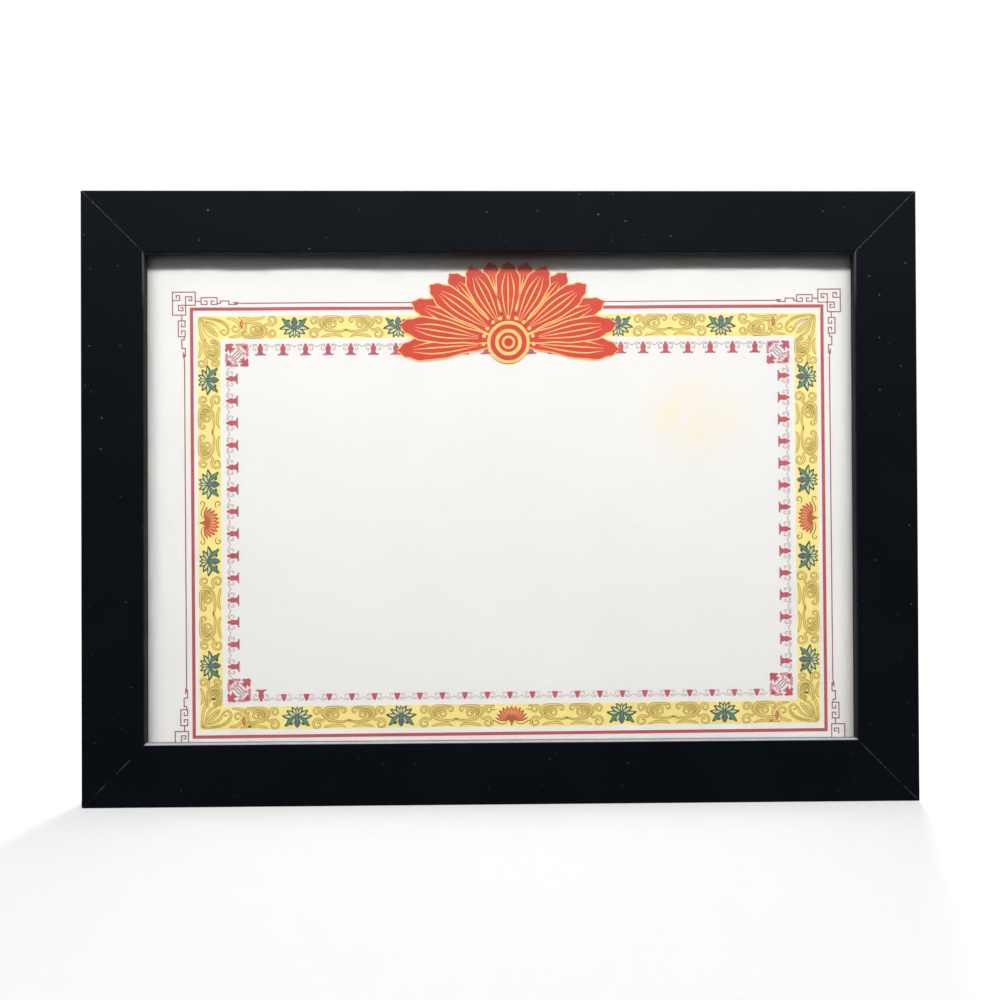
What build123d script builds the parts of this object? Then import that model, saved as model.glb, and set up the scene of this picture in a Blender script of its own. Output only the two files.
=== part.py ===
from build123d import *

import os
from math import sqrt

# A wall-hung certificate frame: four mitred rails hold a glass pane, an A4 sheet, a filler card
# and a hardboard back, which six turn buttons keep in. All sizes are in millimetres.
# X points to the viewer's right, Y towards the wall and Z up. Y is 0 on the rails' back plane, and
# the origin is the notch in the middle of the hanger, where the wall nail bears.

# Sheets in the rebate, front to back
SHEET_WIDTH = 297.0
SHEET_HEIGHT = 210.0
SHEET_THICKNESS = 0.3
SHEET_SIDE_GAP = 0.5
SHEET_GAP = 0.5
PANE_SPARE_WIDTH = 3.0
PANE_THICKNESS = 2.0
PANE_ARRIS = 0.3
PANE_CLEARANCE = 1.0
FILLER_THICKNESS = 3.5
BOARD_THICKNESS = 3.0
BOARD_ARRIS = 0.4
BOARD_RECESS = 0.2

# Rails
FACE_WIDTH = 25.0
LIP_WIDTH = 7.0
LIP_THICKNESS = 4.5
OUTER_EDGE_RADIUS = 0.8
SIGHT_EDGE_RADIUS = 0.5
CORNER_RADIUS = 0.8
MITRE_GROOVE = 0.2

# V-nails across the mitres
WEDGE_LEG = 5.0
WEDGE_THICKNESS = 0.5
WEDGE_HEIGHT = 7.0
WEDGE_SINK = 0.2
WEDGE_INSET = 4.5
FASTENER_CLEARANCE = 0.03

# Turn buttons and their screws
BUTTON_REACH = 12.5
BUTTON_PIVOT_RADIUS = 4.5
BUTTON_TIP_RADIUS = 3.0
BUTTON_THICKNESS = 1.2
BUTTON_EDGE_RADIUS = 0.35
BUTTON_GAP = 0.1
BUTTON_INSET = 5.0
BUTTON_SPACING = 150.0
PIVOT_CLEARANCE = 0.08
SCREW_RADIUS = 1.5
SCREW_DEPTH = 9.0
SCREW_POINT = 0.9
SCREW_HEAD_RADIUS = 3.0
SCREW_HEAD_HEIGHT = 1.9
SCREW_HEAD_ROUND = 1.0
RECESS_LENGTH = 3.4
RECESS_WIDTH = 0.8
RECESS_DEPTH = 1.0

# Sawtooth hanger and its nails
HANGER_LENGTH = 45.0
HANGER_HEIGHT = 10.0
HANGER_THICKNESS = 0.8
HANGER_RISE = 1.6
HANGER_TAB = 9.0
HANGER_RAMP = 2.5
HANGER_CORNER = 2.0
HANGER_MARGIN = 4.0
NOTCH_DEPTH = 1.8
NOTCH_WIDTH = 2.4
NOTCH_PITCH = 3.0
NAIL_RADIUS = 0.9
NAIL_DEPTH = 10.0
NAIL_POINT = 0.6
NAIL_HEAD_RADIUS = 2.2
NAIL_HEAD_HEIGHT = 0.8
NAIL_HEAD_ROUND = 0.3

# Rubber bumpers at the lower corners
BUMPER_RADIUS = 6.0
BUMPER_FACE_RADIUS = 5.2
BUMPER_THICKNESS = 3.5
BUMPER_ROUND = 0.6
BUMPER_INSET = 14.0

# Sizes that follow from those above
PANE_WIDTH = SHEET_WIDTH + PANE_SPARE_WIDTH
PANE_HEIGHT = SHEET_HEIGHT
LAND_WIDTH = FACE_WIDTH - LIP_WIDTH
STACK = PANE_THICKNESS + SHEET_GAP + SHEET_THICKNESS + FILLER_THICKNESS + BOARD_THICKNESS
REBATE_DEPTH = STACK + BOARD_RECESS
RAIL_DEPTH = LIP_THICKNESS + REBATE_DEPTH
FRAME_WIDTH = PANE_WIDTH + 2 * (PANE_CLEARANCE + LAND_WIDTH)
FRAME_HEIGHT = PANE_HEIGHT + 2 * (PANE_CLEARANCE + LAND_WIDTH)

# The sheet has slid towards the right-hand wall of the rebate
SHEET_SHIFT = PANE_SPARE_WIDTH / 2 + PANE_CLEARANCE - SHEET_SIDE_GAP

# Heights and depths in the frame
TOP_Z = HANGER_HEIGHT - NOTCH_DEPTH + HANGER_MARGIN
BOTTOM_Z = TOP_Z - FRAME_HEIGHT
CENTRE_Z = (TOP_Z + BOTTOM_Z) / 2
REBATE_FLOOR_Z = BOTTOM_Z + LAND_WIDTH
PANE_FRONT = -REBATE_DEPTH
SHEET_FRONT = PANE_FRONT + PANE_THICKNESS + SHEET_GAP
FILLER_FRONT = SHEET_FRONT + SHEET_THICKNESS
BOARD_FRONT = FILLER_FRONT + FILLER_THICKNESS

# Each rail is made lying along X with its outer side at Z = 0, then put in its place
RAIL_LENGTHS = {
    "top_rail": FRAME_WIDTH,
    "bottom_rail": FRAME_WIDTH,
    "left_rail": FRAME_HEIGHT,
    "right_rail": FRAME_HEIGHT,
}
RAIL_PLACES = {
    "top_rail": Pos(0, 0, TOP_Z),
    "bottom_rail": Pos(0, 0, BOTTOM_Z) * Rot(0, 180, 0),
    "left_rail": Pos(-FRAME_WIDTH / 2, 0, CENTRE_Z) * Rot(0, -90, 0),
    "right_rail": Pos(FRAME_WIDTH / 2, 0, CENTRE_Z) * Rot(0, 90, 0),
}

# Each turn button's rail, and its place along that rail
BUTTON_PLACES = {
    "turn_button_top_left": ("top_rail", -BUTTON_SPACING / 2),
    "turn_button_top_right": ("top_rail", BUTTON_SPACING / 2),
    "turn_button_bottom_left": ("bottom_rail", BUTTON_SPACING / 2),
    "turn_button_bottom_right": ("bottom_rail", -BUTTON_SPACING / 2),
    "turn_button_left": ("left_rail", 0),
    "turn_button_right": ("right_rail", 0),
}
CORNERS = {
    "top_left": (-1, 1),
    "top_right": (1, 1),
    "bottom_left": (-1, -1),
    "bottom_right": (1, -1),
}

# Turns a piece made along +Z to stand along +Y, out of the rails' back
TO_WALL = Rot(-90, 0, 0)
UPWARDS = (Align.CENTER, Align.CENTER, Align.MIN)


def rail_section():
    """The rail's section, with depth along X and the way in from its outer side along -Y."""
    section = make_face(
        Polyline(
            (-RAIL_DEPTH, 0),
            (0, 0),
            (0, -LAND_WIDTH),
            (-REBATE_DEPTH, -LAND_WIDTH),
            (-REBATE_DEPTH, -FACE_WIDTH),
            (-RAIL_DEPTH, -FACE_WIDTH),
            close=True,
        )
    )
    outer = section.vertices().group_by(Axis.X)[0].sort_by(Axis.Y)[-1]
    section = fillet(outer, OUTER_EDGE_RADIUS)
    sight = section.vertices().group_by(Axis.X)[0].sort_by(Axis.Y)[0]
    return fillet(sight, SIGHT_EDGE_RADIUS)


def mitred_outline(length):
    """The rail's outline from the front: mitred at both ends, with its share of the rounded corners."""
    end = length / 2
    arc_x = end - CORNER_RADIUS
    right = CenterArc((arc_x, -CORNER_RADIUS), CORNER_RADIUS, 90, -45)
    left = CenterArc((-arc_x, -CORNER_RADIUS), CORNER_RADIUS, 90, 45)
    outer = Line(left @ 0, right @ 0)
    inner = Polyline(right @ 1, (end - FACE_WIDTH, -FACE_WIDTH), (FACE_WIDTH - end, -FACE_WIDTH), left @ 1)
    return make_face([outer, right, left, *inner.edges()])


def rail(length):
    """A rail along X with its outer side at Z = 0, mitred at both ends and eased along the mitres."""
    bar = extrude(Plane.YZ * rail_section(), amount=length / 2, both=True)
    bar = bar & extrude(Plane.XZ * mitred_outline(length), amount=RAIL_DEPTH)
    groove_side = MITRE_GROOVE * sqrt(2)
    groove = Rot(45, 0, 0) * Box(2 * FACE_WIDTH, groove_side, groove_side)
    for end in (-1, 1):
        middle = Pos(end * (length - FACE_WIDTH) / 2, -RAIL_DEPTH, -FACE_WIDTH / 2)
        bar -= middle * Rot(0, -45 * end, 0) * groove
    return bar


def upright_sheet(width, height, thickness, front, shift=0.0):
    """A flat sheet that stands on the rebate's floor."""
    centre = Pos(shift, front + thickness / 2, REBATE_FLOOR_Z + height / 2)
    return centre * Box(width, thickness, height)


def eased_sheet(width, height, thickness, front, arris):
    """A flat sheet with an arris taken off its edges."""
    sheet = upright_sheet(width, height, thickness, front)
    front_edges = sheet.faces().sort_by(Axis.Y)[0].edges()
    back_edges = sheet.faces().sort_by(Axis.Y)[-1].edges()
    return chamfer(front_edges + back_edges, arris)


def block(near, far):
    """A box between two opposite corners."""
    size = [abs(b - a) for a, b in zip(near, far)]
    middle = [(a + b) / 2 for a, b in zip(near, far)]
    return Pos(*middle) * Box(*size)


def wedge(corner, inset, clearance=0.0, mouth=WEDGE_SINK):
    """A V-nail at a corner, its legs along the two rails, inset from both of their outer sides.

    Clearance widens it to the pocket that takes it, and mouth is how far below the back it ends.
    """
    side_x, side_z = corner
    start = inset - clearance
    leg_end = inset + WEDGE_LEG + clearance
    thick_end = inset + WEDGE_THICKNESS + clearance
    bottom = -WEDGE_SINK - WEDGE_HEIGHT - clearance

    def point(in_x, y, in_z):
        return (side_x * (FRAME_WIDTH / 2 - in_x), y, CENTRE_Z + side_z * (FRAME_HEIGHT / 2 - in_z))

    leg_x = block(point(start, bottom, start), point(leg_end, -mouth, thick_end))
    leg_z = block(point(start, bottom, start), point(thick_end, -mouth, leg_end))
    return leg_x + leg_z


def turn_button():
    """A turn button on its pivot at the origin, pointing down from there, with its underside at Y = 0."""
    pivot_end = Circle(BUTTON_PIVOT_RADIUS)
    tip_end = Pos(0, BUTTON_TIP_RADIUS - BUTTON_REACH) * Circle(BUTTON_TIP_RADIUS)
    outline = make_hull(pivot_end.edges() + tip_end.edges())
    plate = extrude(Plane.XZ * outline, amount=-BUTTON_THICKNESS)
    plate = fillet(plate.faces().sort_by(Axis.Y)[-1].edges(), BUTTON_EDGE_RADIUS)
    return plate - TO_WALL * Cylinder(SCREW_RADIUS + PIVOT_CLEARANCE, 4 * BUTTON_THICKNESS)


def fastener(radius, depth, point, seat, head_radius, head_height, head_round):
    """A round-headed fastener along +Y: its shank goes depth into the rail, and its head sits at seat."""
    shank = Pos(0, 0, -depth) * Cylinder(radius, depth + seat, align=UPWARDS)
    shank = chamfer(shank.edges().sort_by(Axis.Z)[0], point)
    head = Pos(0, 0, seat) * Cylinder(head_radius, head_height, align=UPWARDS)
    head = fillet(head.edges().sort_by(Axis.Z)[-1], head_round)
    return TO_WALL * (shank + head)


def pilot_hole(radius, depth):
    """The hole in the rail for a fastener."""
    return TO_WALL * Pos(0, 0, -depth - FASTENER_CLEARANCE) * Cylinder(
        radius + FASTENER_CLEARANCE, depth + FASTENER_CLEARANCE, align=UPWARDS
    )


def button_screw():
    """A pan-head screw with a cross recess, which a turn button swivels on."""
    seat = BUTTON_THICKNESS + 2 * BUTTON_GAP
    screw = fastener(
        SCREW_RADIUS, SCREW_DEPTH, SCREW_POINT, seat, SCREW_HEAD_RADIUS, SCREW_HEAD_HEIGHT, SCREW_HEAD_ROUND
    )
    top = Pos(0, seat + SCREW_HEAD_HEIGHT, 0)
    for length, height in ((RECESS_LENGTH, RECESS_WIDTH), (RECESS_WIDTH, RECESS_LENGTH)):
        screw -= top * Box(length, 2 * RECESS_DEPTH, height)
    return screw


def hanger():
    """The toothed hanger: two tabs on the rail and a raised middle with notches in its lower edge."""
    half = HANGER_LENGTH / 2
    tab_end = half - HANGER_TAB
    raised = tab_end - HANGER_RAMP
    under = [(-half, 0), (-tab_end, 0), (-raised, HANGER_RISE)]
    under += [(-x, y) for x, y in reversed(under)]
    over = [(x, y + HANGER_THICKNESS) for x, y in reversed(under)]
    strip = extrude(make_face(Polyline(*under, *over, close=True)), amount=HANGER_HEIGHT)
    strip = Pos(0, 0, -NOTCH_DEPTH) * fillet(strip.edges().filter_by(Axis.Y), HANGER_CORNER)
    notch = make_face(
        Polyline((-NOTCH_WIDTH / 2, -NOTCH_DEPTH), (NOTCH_WIDTH / 2, -NOTCH_DEPTH), (0, 0), close=True)
    )
    notch = extrude(Plane.XZ * notch, amount=-HANGER_RISE - 2 * HANGER_THICKNESS)
    each_side = int((raised - NOTCH_WIDTH / 2) / NOTCH_PITCH)
    for index in range(-each_side, each_side + 1):
        strip -= Pos(index * NOTCH_PITCH, 0, 0) * notch
    for place in nail_places():
        strip -= place * TO_WALL * Cylinder(NAIL_RADIUS + FASTENER_CLEARANCE, 4 * HANGER_THICKNESS)
    return strip


def nail_places():
    """Where the two nails go through the hanger's tabs."""
    reach = (HANGER_LENGTH - HANGER_TAB) / 2
    height = HANGER_HEIGHT / 2 - NOTCH_DEPTH
    return [Pos(side * reach, 0, height) for side in (-1, 1)]


def pivot_place(name):
    """Where a turn button's screw enters the rail, turned so that the button points inwards."""
    rail_name, along = BUTTON_PLACES[name]
    return RAIL_PLACES[rail_name] * Pos(along, 0, BUTTON_INSET - LAND_WIDTH)


def bumper(side):
    """A rubber pad on the back of the bottom rail, near its left (-1) or right (1) end."""
    pad = Cone(BUMPER_RADIUS, BUMPER_FACE_RADIUS, BUMPER_THICKNESS, align=UPWARDS)
    pad = fillet(pad.edges().sort_by(Axis.Z)[-1], BUMPER_ROUND)
    return Pos(side * (FRAME_WIDTH / 2 - BUMPER_INSET), 0, BOTTOM_Z + LAND_WIDTH / 2) * TO_WALL * pad


def wedge_insets():
    """How far in from the outer sides the outer and the inner V-nail of a corner stand."""
    return (WEDGE_INSET, LAND_WIDTH - WEDGE_INSET - WEDGE_THICKNESS)


def rail_cuts():
    """All the pilot holes and pockets in the rails' backs."""
    cuts = [pivot_place(name) * pilot_hole(SCREW_RADIUS, SCREW_DEPTH) for name in BUTTON_PLACES]
    cuts += [place * pilot_hole(NAIL_RADIUS, NAIL_DEPTH) for place in nail_places()]
    for corner in CORNERS.values():
        cuts += [wedge(corner, inset, FASTENER_CLEARANCE, mouth=0.0) for inset in wedge_insets()]
    return cuts


nodes = {}
for name, length in RAIL_LENGTHS.items():
    nodes[name] = RAIL_PLACES[name] * rail(length) - rail_cuts()
for name, corner in CORNERS.items():
    nodes["corner_wedges_" + name] = Compound([wedge(corner, inset) for inset in wedge_insets()])
nodes["glass_pane"] = eased_sheet(PANE_WIDTH, PANE_HEIGHT, PANE_THICKNESS, PANE_FRONT, PANE_ARRIS)
nodes["certificate_sheet"] = upright_sheet(
    SHEET_WIDTH, SHEET_HEIGHT, SHEET_THICKNESS, SHEET_FRONT, SHEET_SHIFT
)
nodes["filler_card"] = upright_sheet(PANE_WIDTH, PANE_HEIGHT, FILLER_THICKNESS, FILLER_FRONT)
nodes["backing_board"] = eased_sheet(PANE_WIDTH, PANE_HEIGHT, BOARD_THICKNESS, BOARD_FRONT, BOARD_ARRIS)
for name in BUTTON_PLACES:
    nodes[name] = pivot_place(name) * Pos(0, BUTTON_GAP, 0) * turn_button()
nodes["turn_button_screws"] = Compound([pivot_place(name) * button_screw() for name in BUTTON_PLACES])
nodes["sawtooth_hanger"] = hanger()
nodes["hanger_nails"] = Compound(
    [
        place
        * fastener(
            NAIL_RADIUS,
            NAIL_DEPTH,
            NAIL_POINT,
            HANGER_THICKNESS,
            NAIL_HEAD_RADIUS,
            NAIL_HEAD_HEIGHT,
            NAIL_HEAD_ROUND,
        )
        for place in nail_places()
    ]
)
nodes["wall_bumper_left"] = bumper(-1)
nodes["wall_bumper_right"] = bumper(1)

os.makedirs("parts", exist_ok=True)
for name, shape in nodes.items():
    export_step(shape, f"parts/{name}.step")
print(f"frame {FRAME_WIDTH} x {FRAME_HEIGHT} x {RAIL_DEPTH} mm, {len(nodes)} nodes")
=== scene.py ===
"""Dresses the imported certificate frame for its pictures.

The rails, the glass, the back and the hardware are the CAD model's own pieces and get their finishes here.
The printed sheet is modelled here: a slightly wavy paper, with a traditional border laid on it as thin
strokes of ink. The places and widths of the print are in millimetres, and everything else is in metres.
"""
import logging
import math
from collections.abc import Iterable, Sequence
from dataclasses import dataclass, field, replace
from enum import Enum
from functools import reduce

import bmesh
import bpy
from mathutils import Euler, Matrix, Vector


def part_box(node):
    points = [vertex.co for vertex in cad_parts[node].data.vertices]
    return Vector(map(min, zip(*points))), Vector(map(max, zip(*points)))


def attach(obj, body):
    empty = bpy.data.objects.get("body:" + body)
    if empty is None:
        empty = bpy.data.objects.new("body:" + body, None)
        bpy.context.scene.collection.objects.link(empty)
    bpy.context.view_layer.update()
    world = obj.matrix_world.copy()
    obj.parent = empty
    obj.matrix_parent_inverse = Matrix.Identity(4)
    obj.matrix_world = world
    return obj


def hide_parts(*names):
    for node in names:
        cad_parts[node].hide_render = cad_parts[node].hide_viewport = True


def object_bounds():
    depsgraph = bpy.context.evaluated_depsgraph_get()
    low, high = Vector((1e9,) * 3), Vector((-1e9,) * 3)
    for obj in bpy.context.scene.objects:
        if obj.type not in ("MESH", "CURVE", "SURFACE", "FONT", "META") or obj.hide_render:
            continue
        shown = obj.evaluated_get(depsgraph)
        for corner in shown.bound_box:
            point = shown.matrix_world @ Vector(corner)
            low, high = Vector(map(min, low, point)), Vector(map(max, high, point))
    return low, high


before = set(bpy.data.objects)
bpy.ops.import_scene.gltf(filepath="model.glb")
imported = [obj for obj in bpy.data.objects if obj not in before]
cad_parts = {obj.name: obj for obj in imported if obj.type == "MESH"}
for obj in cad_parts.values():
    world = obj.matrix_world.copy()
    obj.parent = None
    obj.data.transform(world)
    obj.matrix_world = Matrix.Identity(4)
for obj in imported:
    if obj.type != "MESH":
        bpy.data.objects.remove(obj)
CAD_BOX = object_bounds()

LOG = logging.getLogger("certificate_frame")
MM = 0.001
BODY = "frame"

Colour = tuple[float, float, float, float]
Point = tuple[float, float, float]
Spot = tuple[float, float]
Span = tuple[float, float]
Socket = bpy.types.NodeSocket
Sockets = bpy.types.bpy_prop_collection


def linear(red: int, green: int, blue: int) -> Colour:
    """Turns a colour as a screen shows it into the linear one that shaders take.

    Args:
        red: The red share, 0 to 255.
        green: The green share, 0 to 255.
        blue: The blue share, 0 to 255.

    Returns:
        The linear colour with a full alpha.
    """
    shares = [share / 255 for share in (red, green, blue)]
    curve = [s / 12.92 if s <= 0.04045 else ((s + 0.055) / 1.055) ** 2.4 for s in shares]
    return (*curve, 1.0)


class Bench:
    """A node tree with short calls that add nodes and join their sockets."""

    def __init__(self, tree: bpy.types.NodeTree) -> None:
        """Keeps the tree that the nodes go into."""
        self.tree = tree

    def add(self, kind: str, inputs: dict | None = None, **options: object) -> bpy.types.Node:
        """Adds a node, sets its options and fills or joins its inputs.

        Args:
            kind: The node's type name.
            inputs: For each socket's name or number, a plain value or the socket that feeds it.
            options: The node's own settings.

        Returns:
            The new node.
        """
        node = self.tree.nodes.new(kind)
        for name, value in options.items():
            setattr(node, name, value)
        for name, value in (inputs or {}).items():
            self.feed(node.inputs[name], value)
        return node

    def feed(self, socket: Socket, value: object) -> None:
        """Fills a socket.

        Args:
            socket: The socket.
            value: The socket that it is joined to, or the plain value that it is set to.
        """
        if isinstance(value, bpy.types.NodeSocket):
            self.tree.links.new(value, socket)
        else:
            socket.default_value = value

    def calc(self, operation: str, *terms: float | Socket) -> Socket:
        """Adds a Math node of that operation and returns its result."""
        return self.add("ShaderNodeMath", dict(enumerate(terms)), operation=operation).outputs[0]

    def product(self, *factors: float | Socket) -> Socket:
        """Multiplies the factors, one after the other."""
        return reduce(lambda done, factor: self.calc("MULTIPLY", done, factor), factors)

    def highest(self, *values: float | Socket) -> Socket:
        """Takes the highest of the values, one after the other."""
        return reduce(lambda done, value: self.calc("MAXIMUM", done, value), values)

    def below(self, value: Socket, limit: float | Socket) -> Socket:
        """Masks where the value is less than the limit."""
        return self.calc("LESS_THAN", value, limit)

    def above(self, value: Socket, limit: float) -> Socket:
        """Masks where the value is more than the limit."""
        return self.calc("GREATER_THAN", value, limit)

    def vector(self, operation: str, *terms: object) -> Sockets:
        """Adds a Vector Math node of that operation and returns its outputs."""
        return self.add("ShaderNodeVectorMath", dict(enumerate(terms)), operation=operation).outputs

    def axes(self, where: Socket) -> Sockets:
        """Splits coordinates into the sockets of X, Y and Z."""
        return self.add("ShaderNodeSeparateXYZ", {0: where}).outputs

    def noise(self, where: Socket, scale: float | Socket, detail: float) -> Socket:
        """Adds a Noise Texture node and returns its value."""
        return self.add("ShaderNodeTexNoise", {"Vector": where, "Scale": scale, "Detail": detail}).outputs[0]

    def ranged(
        self, value: Socket, low: float, high: float, to_low: float = 0.0, to_high: float = 1.0
    ) -> Socket:
        """Maps a value from one range to another, held at its ends.

        Args:
            value: The socket with the value.
            low: The start of its range.
            high: The end of its range.
            to_low: The result at the start.
            to_high: The result at the end.

        Returns:
            The result's socket.
        """
        limits = {"Value": value, "From Min": low, "From Max": high, "To Min": to_low, "To Max": to_high}
        return self.add("ShaderNodeMapRange", limits).outputs[0]

    def mixed(self, share: float | Socket, low: object, high: object) -> Socket:
        """Mixes two colours, by the share of the second that shows."""
        return self.add("ShaderNodeMix", {0: share, 6: low, 7: high}, data_type="RGBA").outputs[2]

    def blended(self, share: Socket, low: Socket, high: Socket) -> Socket:
        """Mixes two shaders, by the share of the second that shows."""
        return self.add("ShaderNodeMixShader", {0: share, 1: low, 2: high}).outputs[0]

    def background_rays(self, axes: Sockets) -> Socket:
        """Masks the rays that show the background: the eye's, and those mirrored or let through to the rear.

        Args:
            axes: The sockets of the three coordinates.

        Returns:
            The mask's socket.
        """
        rays = self.add("ShaderNodeLightPath").outputs
        mirrored = self.highest(rays["Is Glossy Ray"], rays["Is Transmission Ray"])
        behind = self.above(axes["Y"], 0.0)
        return self.highest(rays["Is Camera Ray"], self.product(mirrored, behind))


class GroupBench(Bench):
    """The inside of a shared effect's node group."""

    def __init__(self, tree: bpy.types.NodeTree) -> None:
        """Adds the group's own input and output nodes.

        Args:
            tree: The group's tree.
        """
        super().__init__(tree)
        self.entry = self.add("NodeGroupInput")
        self.exit = self.add("NodeGroupOutput")

    def takes(self, name: str, kind: str = "Float") -> Socket:
        """Adds an input of that name and kind to the group and returns the socket that brings it in."""
        self.tree.interface.new_socket(name, in_out="INPUT", socket_type=f"NodeSocket{kind}")
        return self.entry.outputs[name]

    def gives(self, name: str, kind: str, value: Socket) -> None:
        """Adds an output of that name and kind to the group and joins the value to it."""
        self.tree.interface.new_socket(name, in_out="OUTPUT", socket_type=f"NodeSocket{kind}")
        self.tree.links.new(value, self.exit.inputs[name])

    def mottled_colour(self) -> None:
        """A colour that is a little lighter and darker in soft patches."""
        where, colour = self.takes("Vector", "Vector"), self.takes("Color", "Color")
        scale, strength = self.takes("Scale"), self.takes("Strength")
        middle, swing = (0.25, 0.75), (-1.0, 1.0)
        patches = self.ranged(self.noise(where, scale, detail=5.0), *middle, *swing)
        level = self.calc("MULTIPLY_ADD", patches, strength, 1.0)
        shaded = self.add("ShaderNodeVectorMath", {0: colour, "Scale": level}, operation="SCALE")
        self.gives("Color", "Color", shaded.outputs[0])

    def fine_grain(self) -> None:
        """A grain of two sizes, for bump and for changes of gloss."""
        where, scale = self.takes("Vector", "Vector"), self.takes("Scale")
        finer, faint = 3.7, 0.4
        coarse = self.noise(where, scale, detail=2.0)
        fine = self.noise(where, self.product(scale, finer), detail=3.0)
        self.gives("Height", "Float", self.calc("MULTIPLY_ADD", fine, faint, coarse))

    def scattered_specks(self) -> None:
        """A mask of small round specks, few and uneven in size, on faces that look any way."""
        where, scale = self.takes("Vector", "Vector"), self.takes("Scale")
        share, size = self.takes("Share"), self.takes("Size")
        slant, steep = 0.61, 0.83
        axes = self.axes(where)
        across = self.calc("MULTIPLY_ADD", axes["Y"], slant, axes["X"])
        up = self.calc("MULTIPLY_ADD", axes["Y"], steep, axes["Z"])
        flat = self.add("ShaderNodeCombineXYZ", {0: across, 1: up}).outputs[0]
        cells = self.add("ShaderNodeTexVoronoi", {"Vector": flat, "Scale": scale}, voronoi_dimensions="2D")
        draw = self.add("ShaderNodeSeparateColor", {0: cells.outputs["Color"]}).outputs
        inside = self.below(cells.outputs["Distance"], self.product(draw[0], size))
        self.gives("Mask", "Float", self.product(inside, self.below(draw[1], share)))


class Effect(Enum):
    """Surface effects that several finishes share, each one a node group."""

    MOTTLE = "mottled_colour"
    GRAIN = "fine_grain"
    SPECKS = "scattered_specks"

    def group(self) -> bpy.types.NodeTree:
        """Finds the effect's node group, or makes it on first use.

        Returns:
            The group.
        """
        made = bpy.data.node_groups.get(self.value)
        if made is None:
            made = bpy.data.node_groups.new(self.value, "ShaderNodeTree")
            bench = GroupBench(made)
            makers = {
                Effect.MOTTLE: bench.mottled_colour,
                Effect.GRAIN: bench.fine_grain,
                Effect.SPECKS: bench.scattered_specks,
            }
            makers[self]()
        return made


class Surface(Bench):
    """A material's tree, with its shader and its Object coordinates."""

    GRAIN_SPAN: Span = (0.4, 1.0)

    def __init__(self, material: bpy.types.Material) -> None:
        """Turns the material's nodes on and keeps the shader, the output and the coordinates.

        Args:
            material: The new material.
        """
        material.use_nodes = True
        super().__init__(material.node_tree)
        self.shader = self.tree.nodes["Principled BSDF"]
        self.out = self.tree.nodes["Material Output"]
        self.where = self.add("ShaderNodeTexCoord").outputs["Object"]

    def set(self, **values: object) -> None:
        """Sets or joins the shader's sockets, named with _ for a space and in title case."""
        for name, value in values.items():
            self.feed(self.shader.inputs[name.replace("_", " ")], value)

    def shows(self, shader: Socket) -> None:
        """Makes that shader the one that the surface shows."""
        self.feed(self.out.inputs["Surface"], shader)

    def effect(self, effect: Effect, where: Socket | None, **inputs: object) -> Socket:
        """Places a shared effect's group with its own values.

        Args:
            effect: The effect.
            where: Its coordinates, or None for the surface's own.
            inputs: Its other inputs, by their names.

        Returns:
            The effect's result.
        """
        return self.add("ShaderNodeGroup", {"Vector": where or self.where, **inputs},
                        node_tree=effect.group()).outputs[0]

    def grain(self, scale: float, where: Socket | None = None) -> Socket:
        """Places the grain at that scale and returns its height."""
        return self.effect(Effect.GRAIN, where, Scale=scale)

    def mottle(self, colour: object, scale: float, strength: float, where: Socket | None = None) -> Socket:
        """Returns that colour with soft patches of that scale and strength."""
        return self.effect(Effect.MOTTLE, where, Color=colour, Scale=scale, Strength=strength)

    def stretched(self, along: float = 1.0, up: float = 1.0) -> Socket:
        """Returns the coordinates scaled by those factors along the frame and up it."""
        return self.add("ShaderNodeMapping", {"Vector": self.where, "Scale": (along, 1.0, up)}).outputs[0]

    def rough(self, grain: Socket, gloss: Span) -> None:
        """Lets the roughness follow a grain from the first of two values to the second."""
        self.set(Roughness=self.ranged(grain, *self.GRAIN_SPAN, *gloss))

    def bump(self, height: Socket, depth: float, strength: float) -> None:
        """Roughens the surface by that height map, with its depth in metres."""
        levels = {"Height": height, "Distance": depth, "Strength": strength}
        self.set(Normal=self.add("ShaderNodeBump", levels).outputs[0])


@dataclass(frozen=True)
class Finish:
    """A surface finish, which makes its material once."""

    name: str

    def material(self) -> bpy.types.Material:
        """Finds the finish's material, or makes it on first use.

        Returns:
            The material.
        """
        made = bpy.data.materials.get(self.name)
        if made is None:
            made = bpy.data.materials.new(self.name)
            self.dress(Surface(made))
        return made

    def dress(self, surface: Surface) -> None:
        """Builds the material's nodes."""
        raise NotImplementedError


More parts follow.
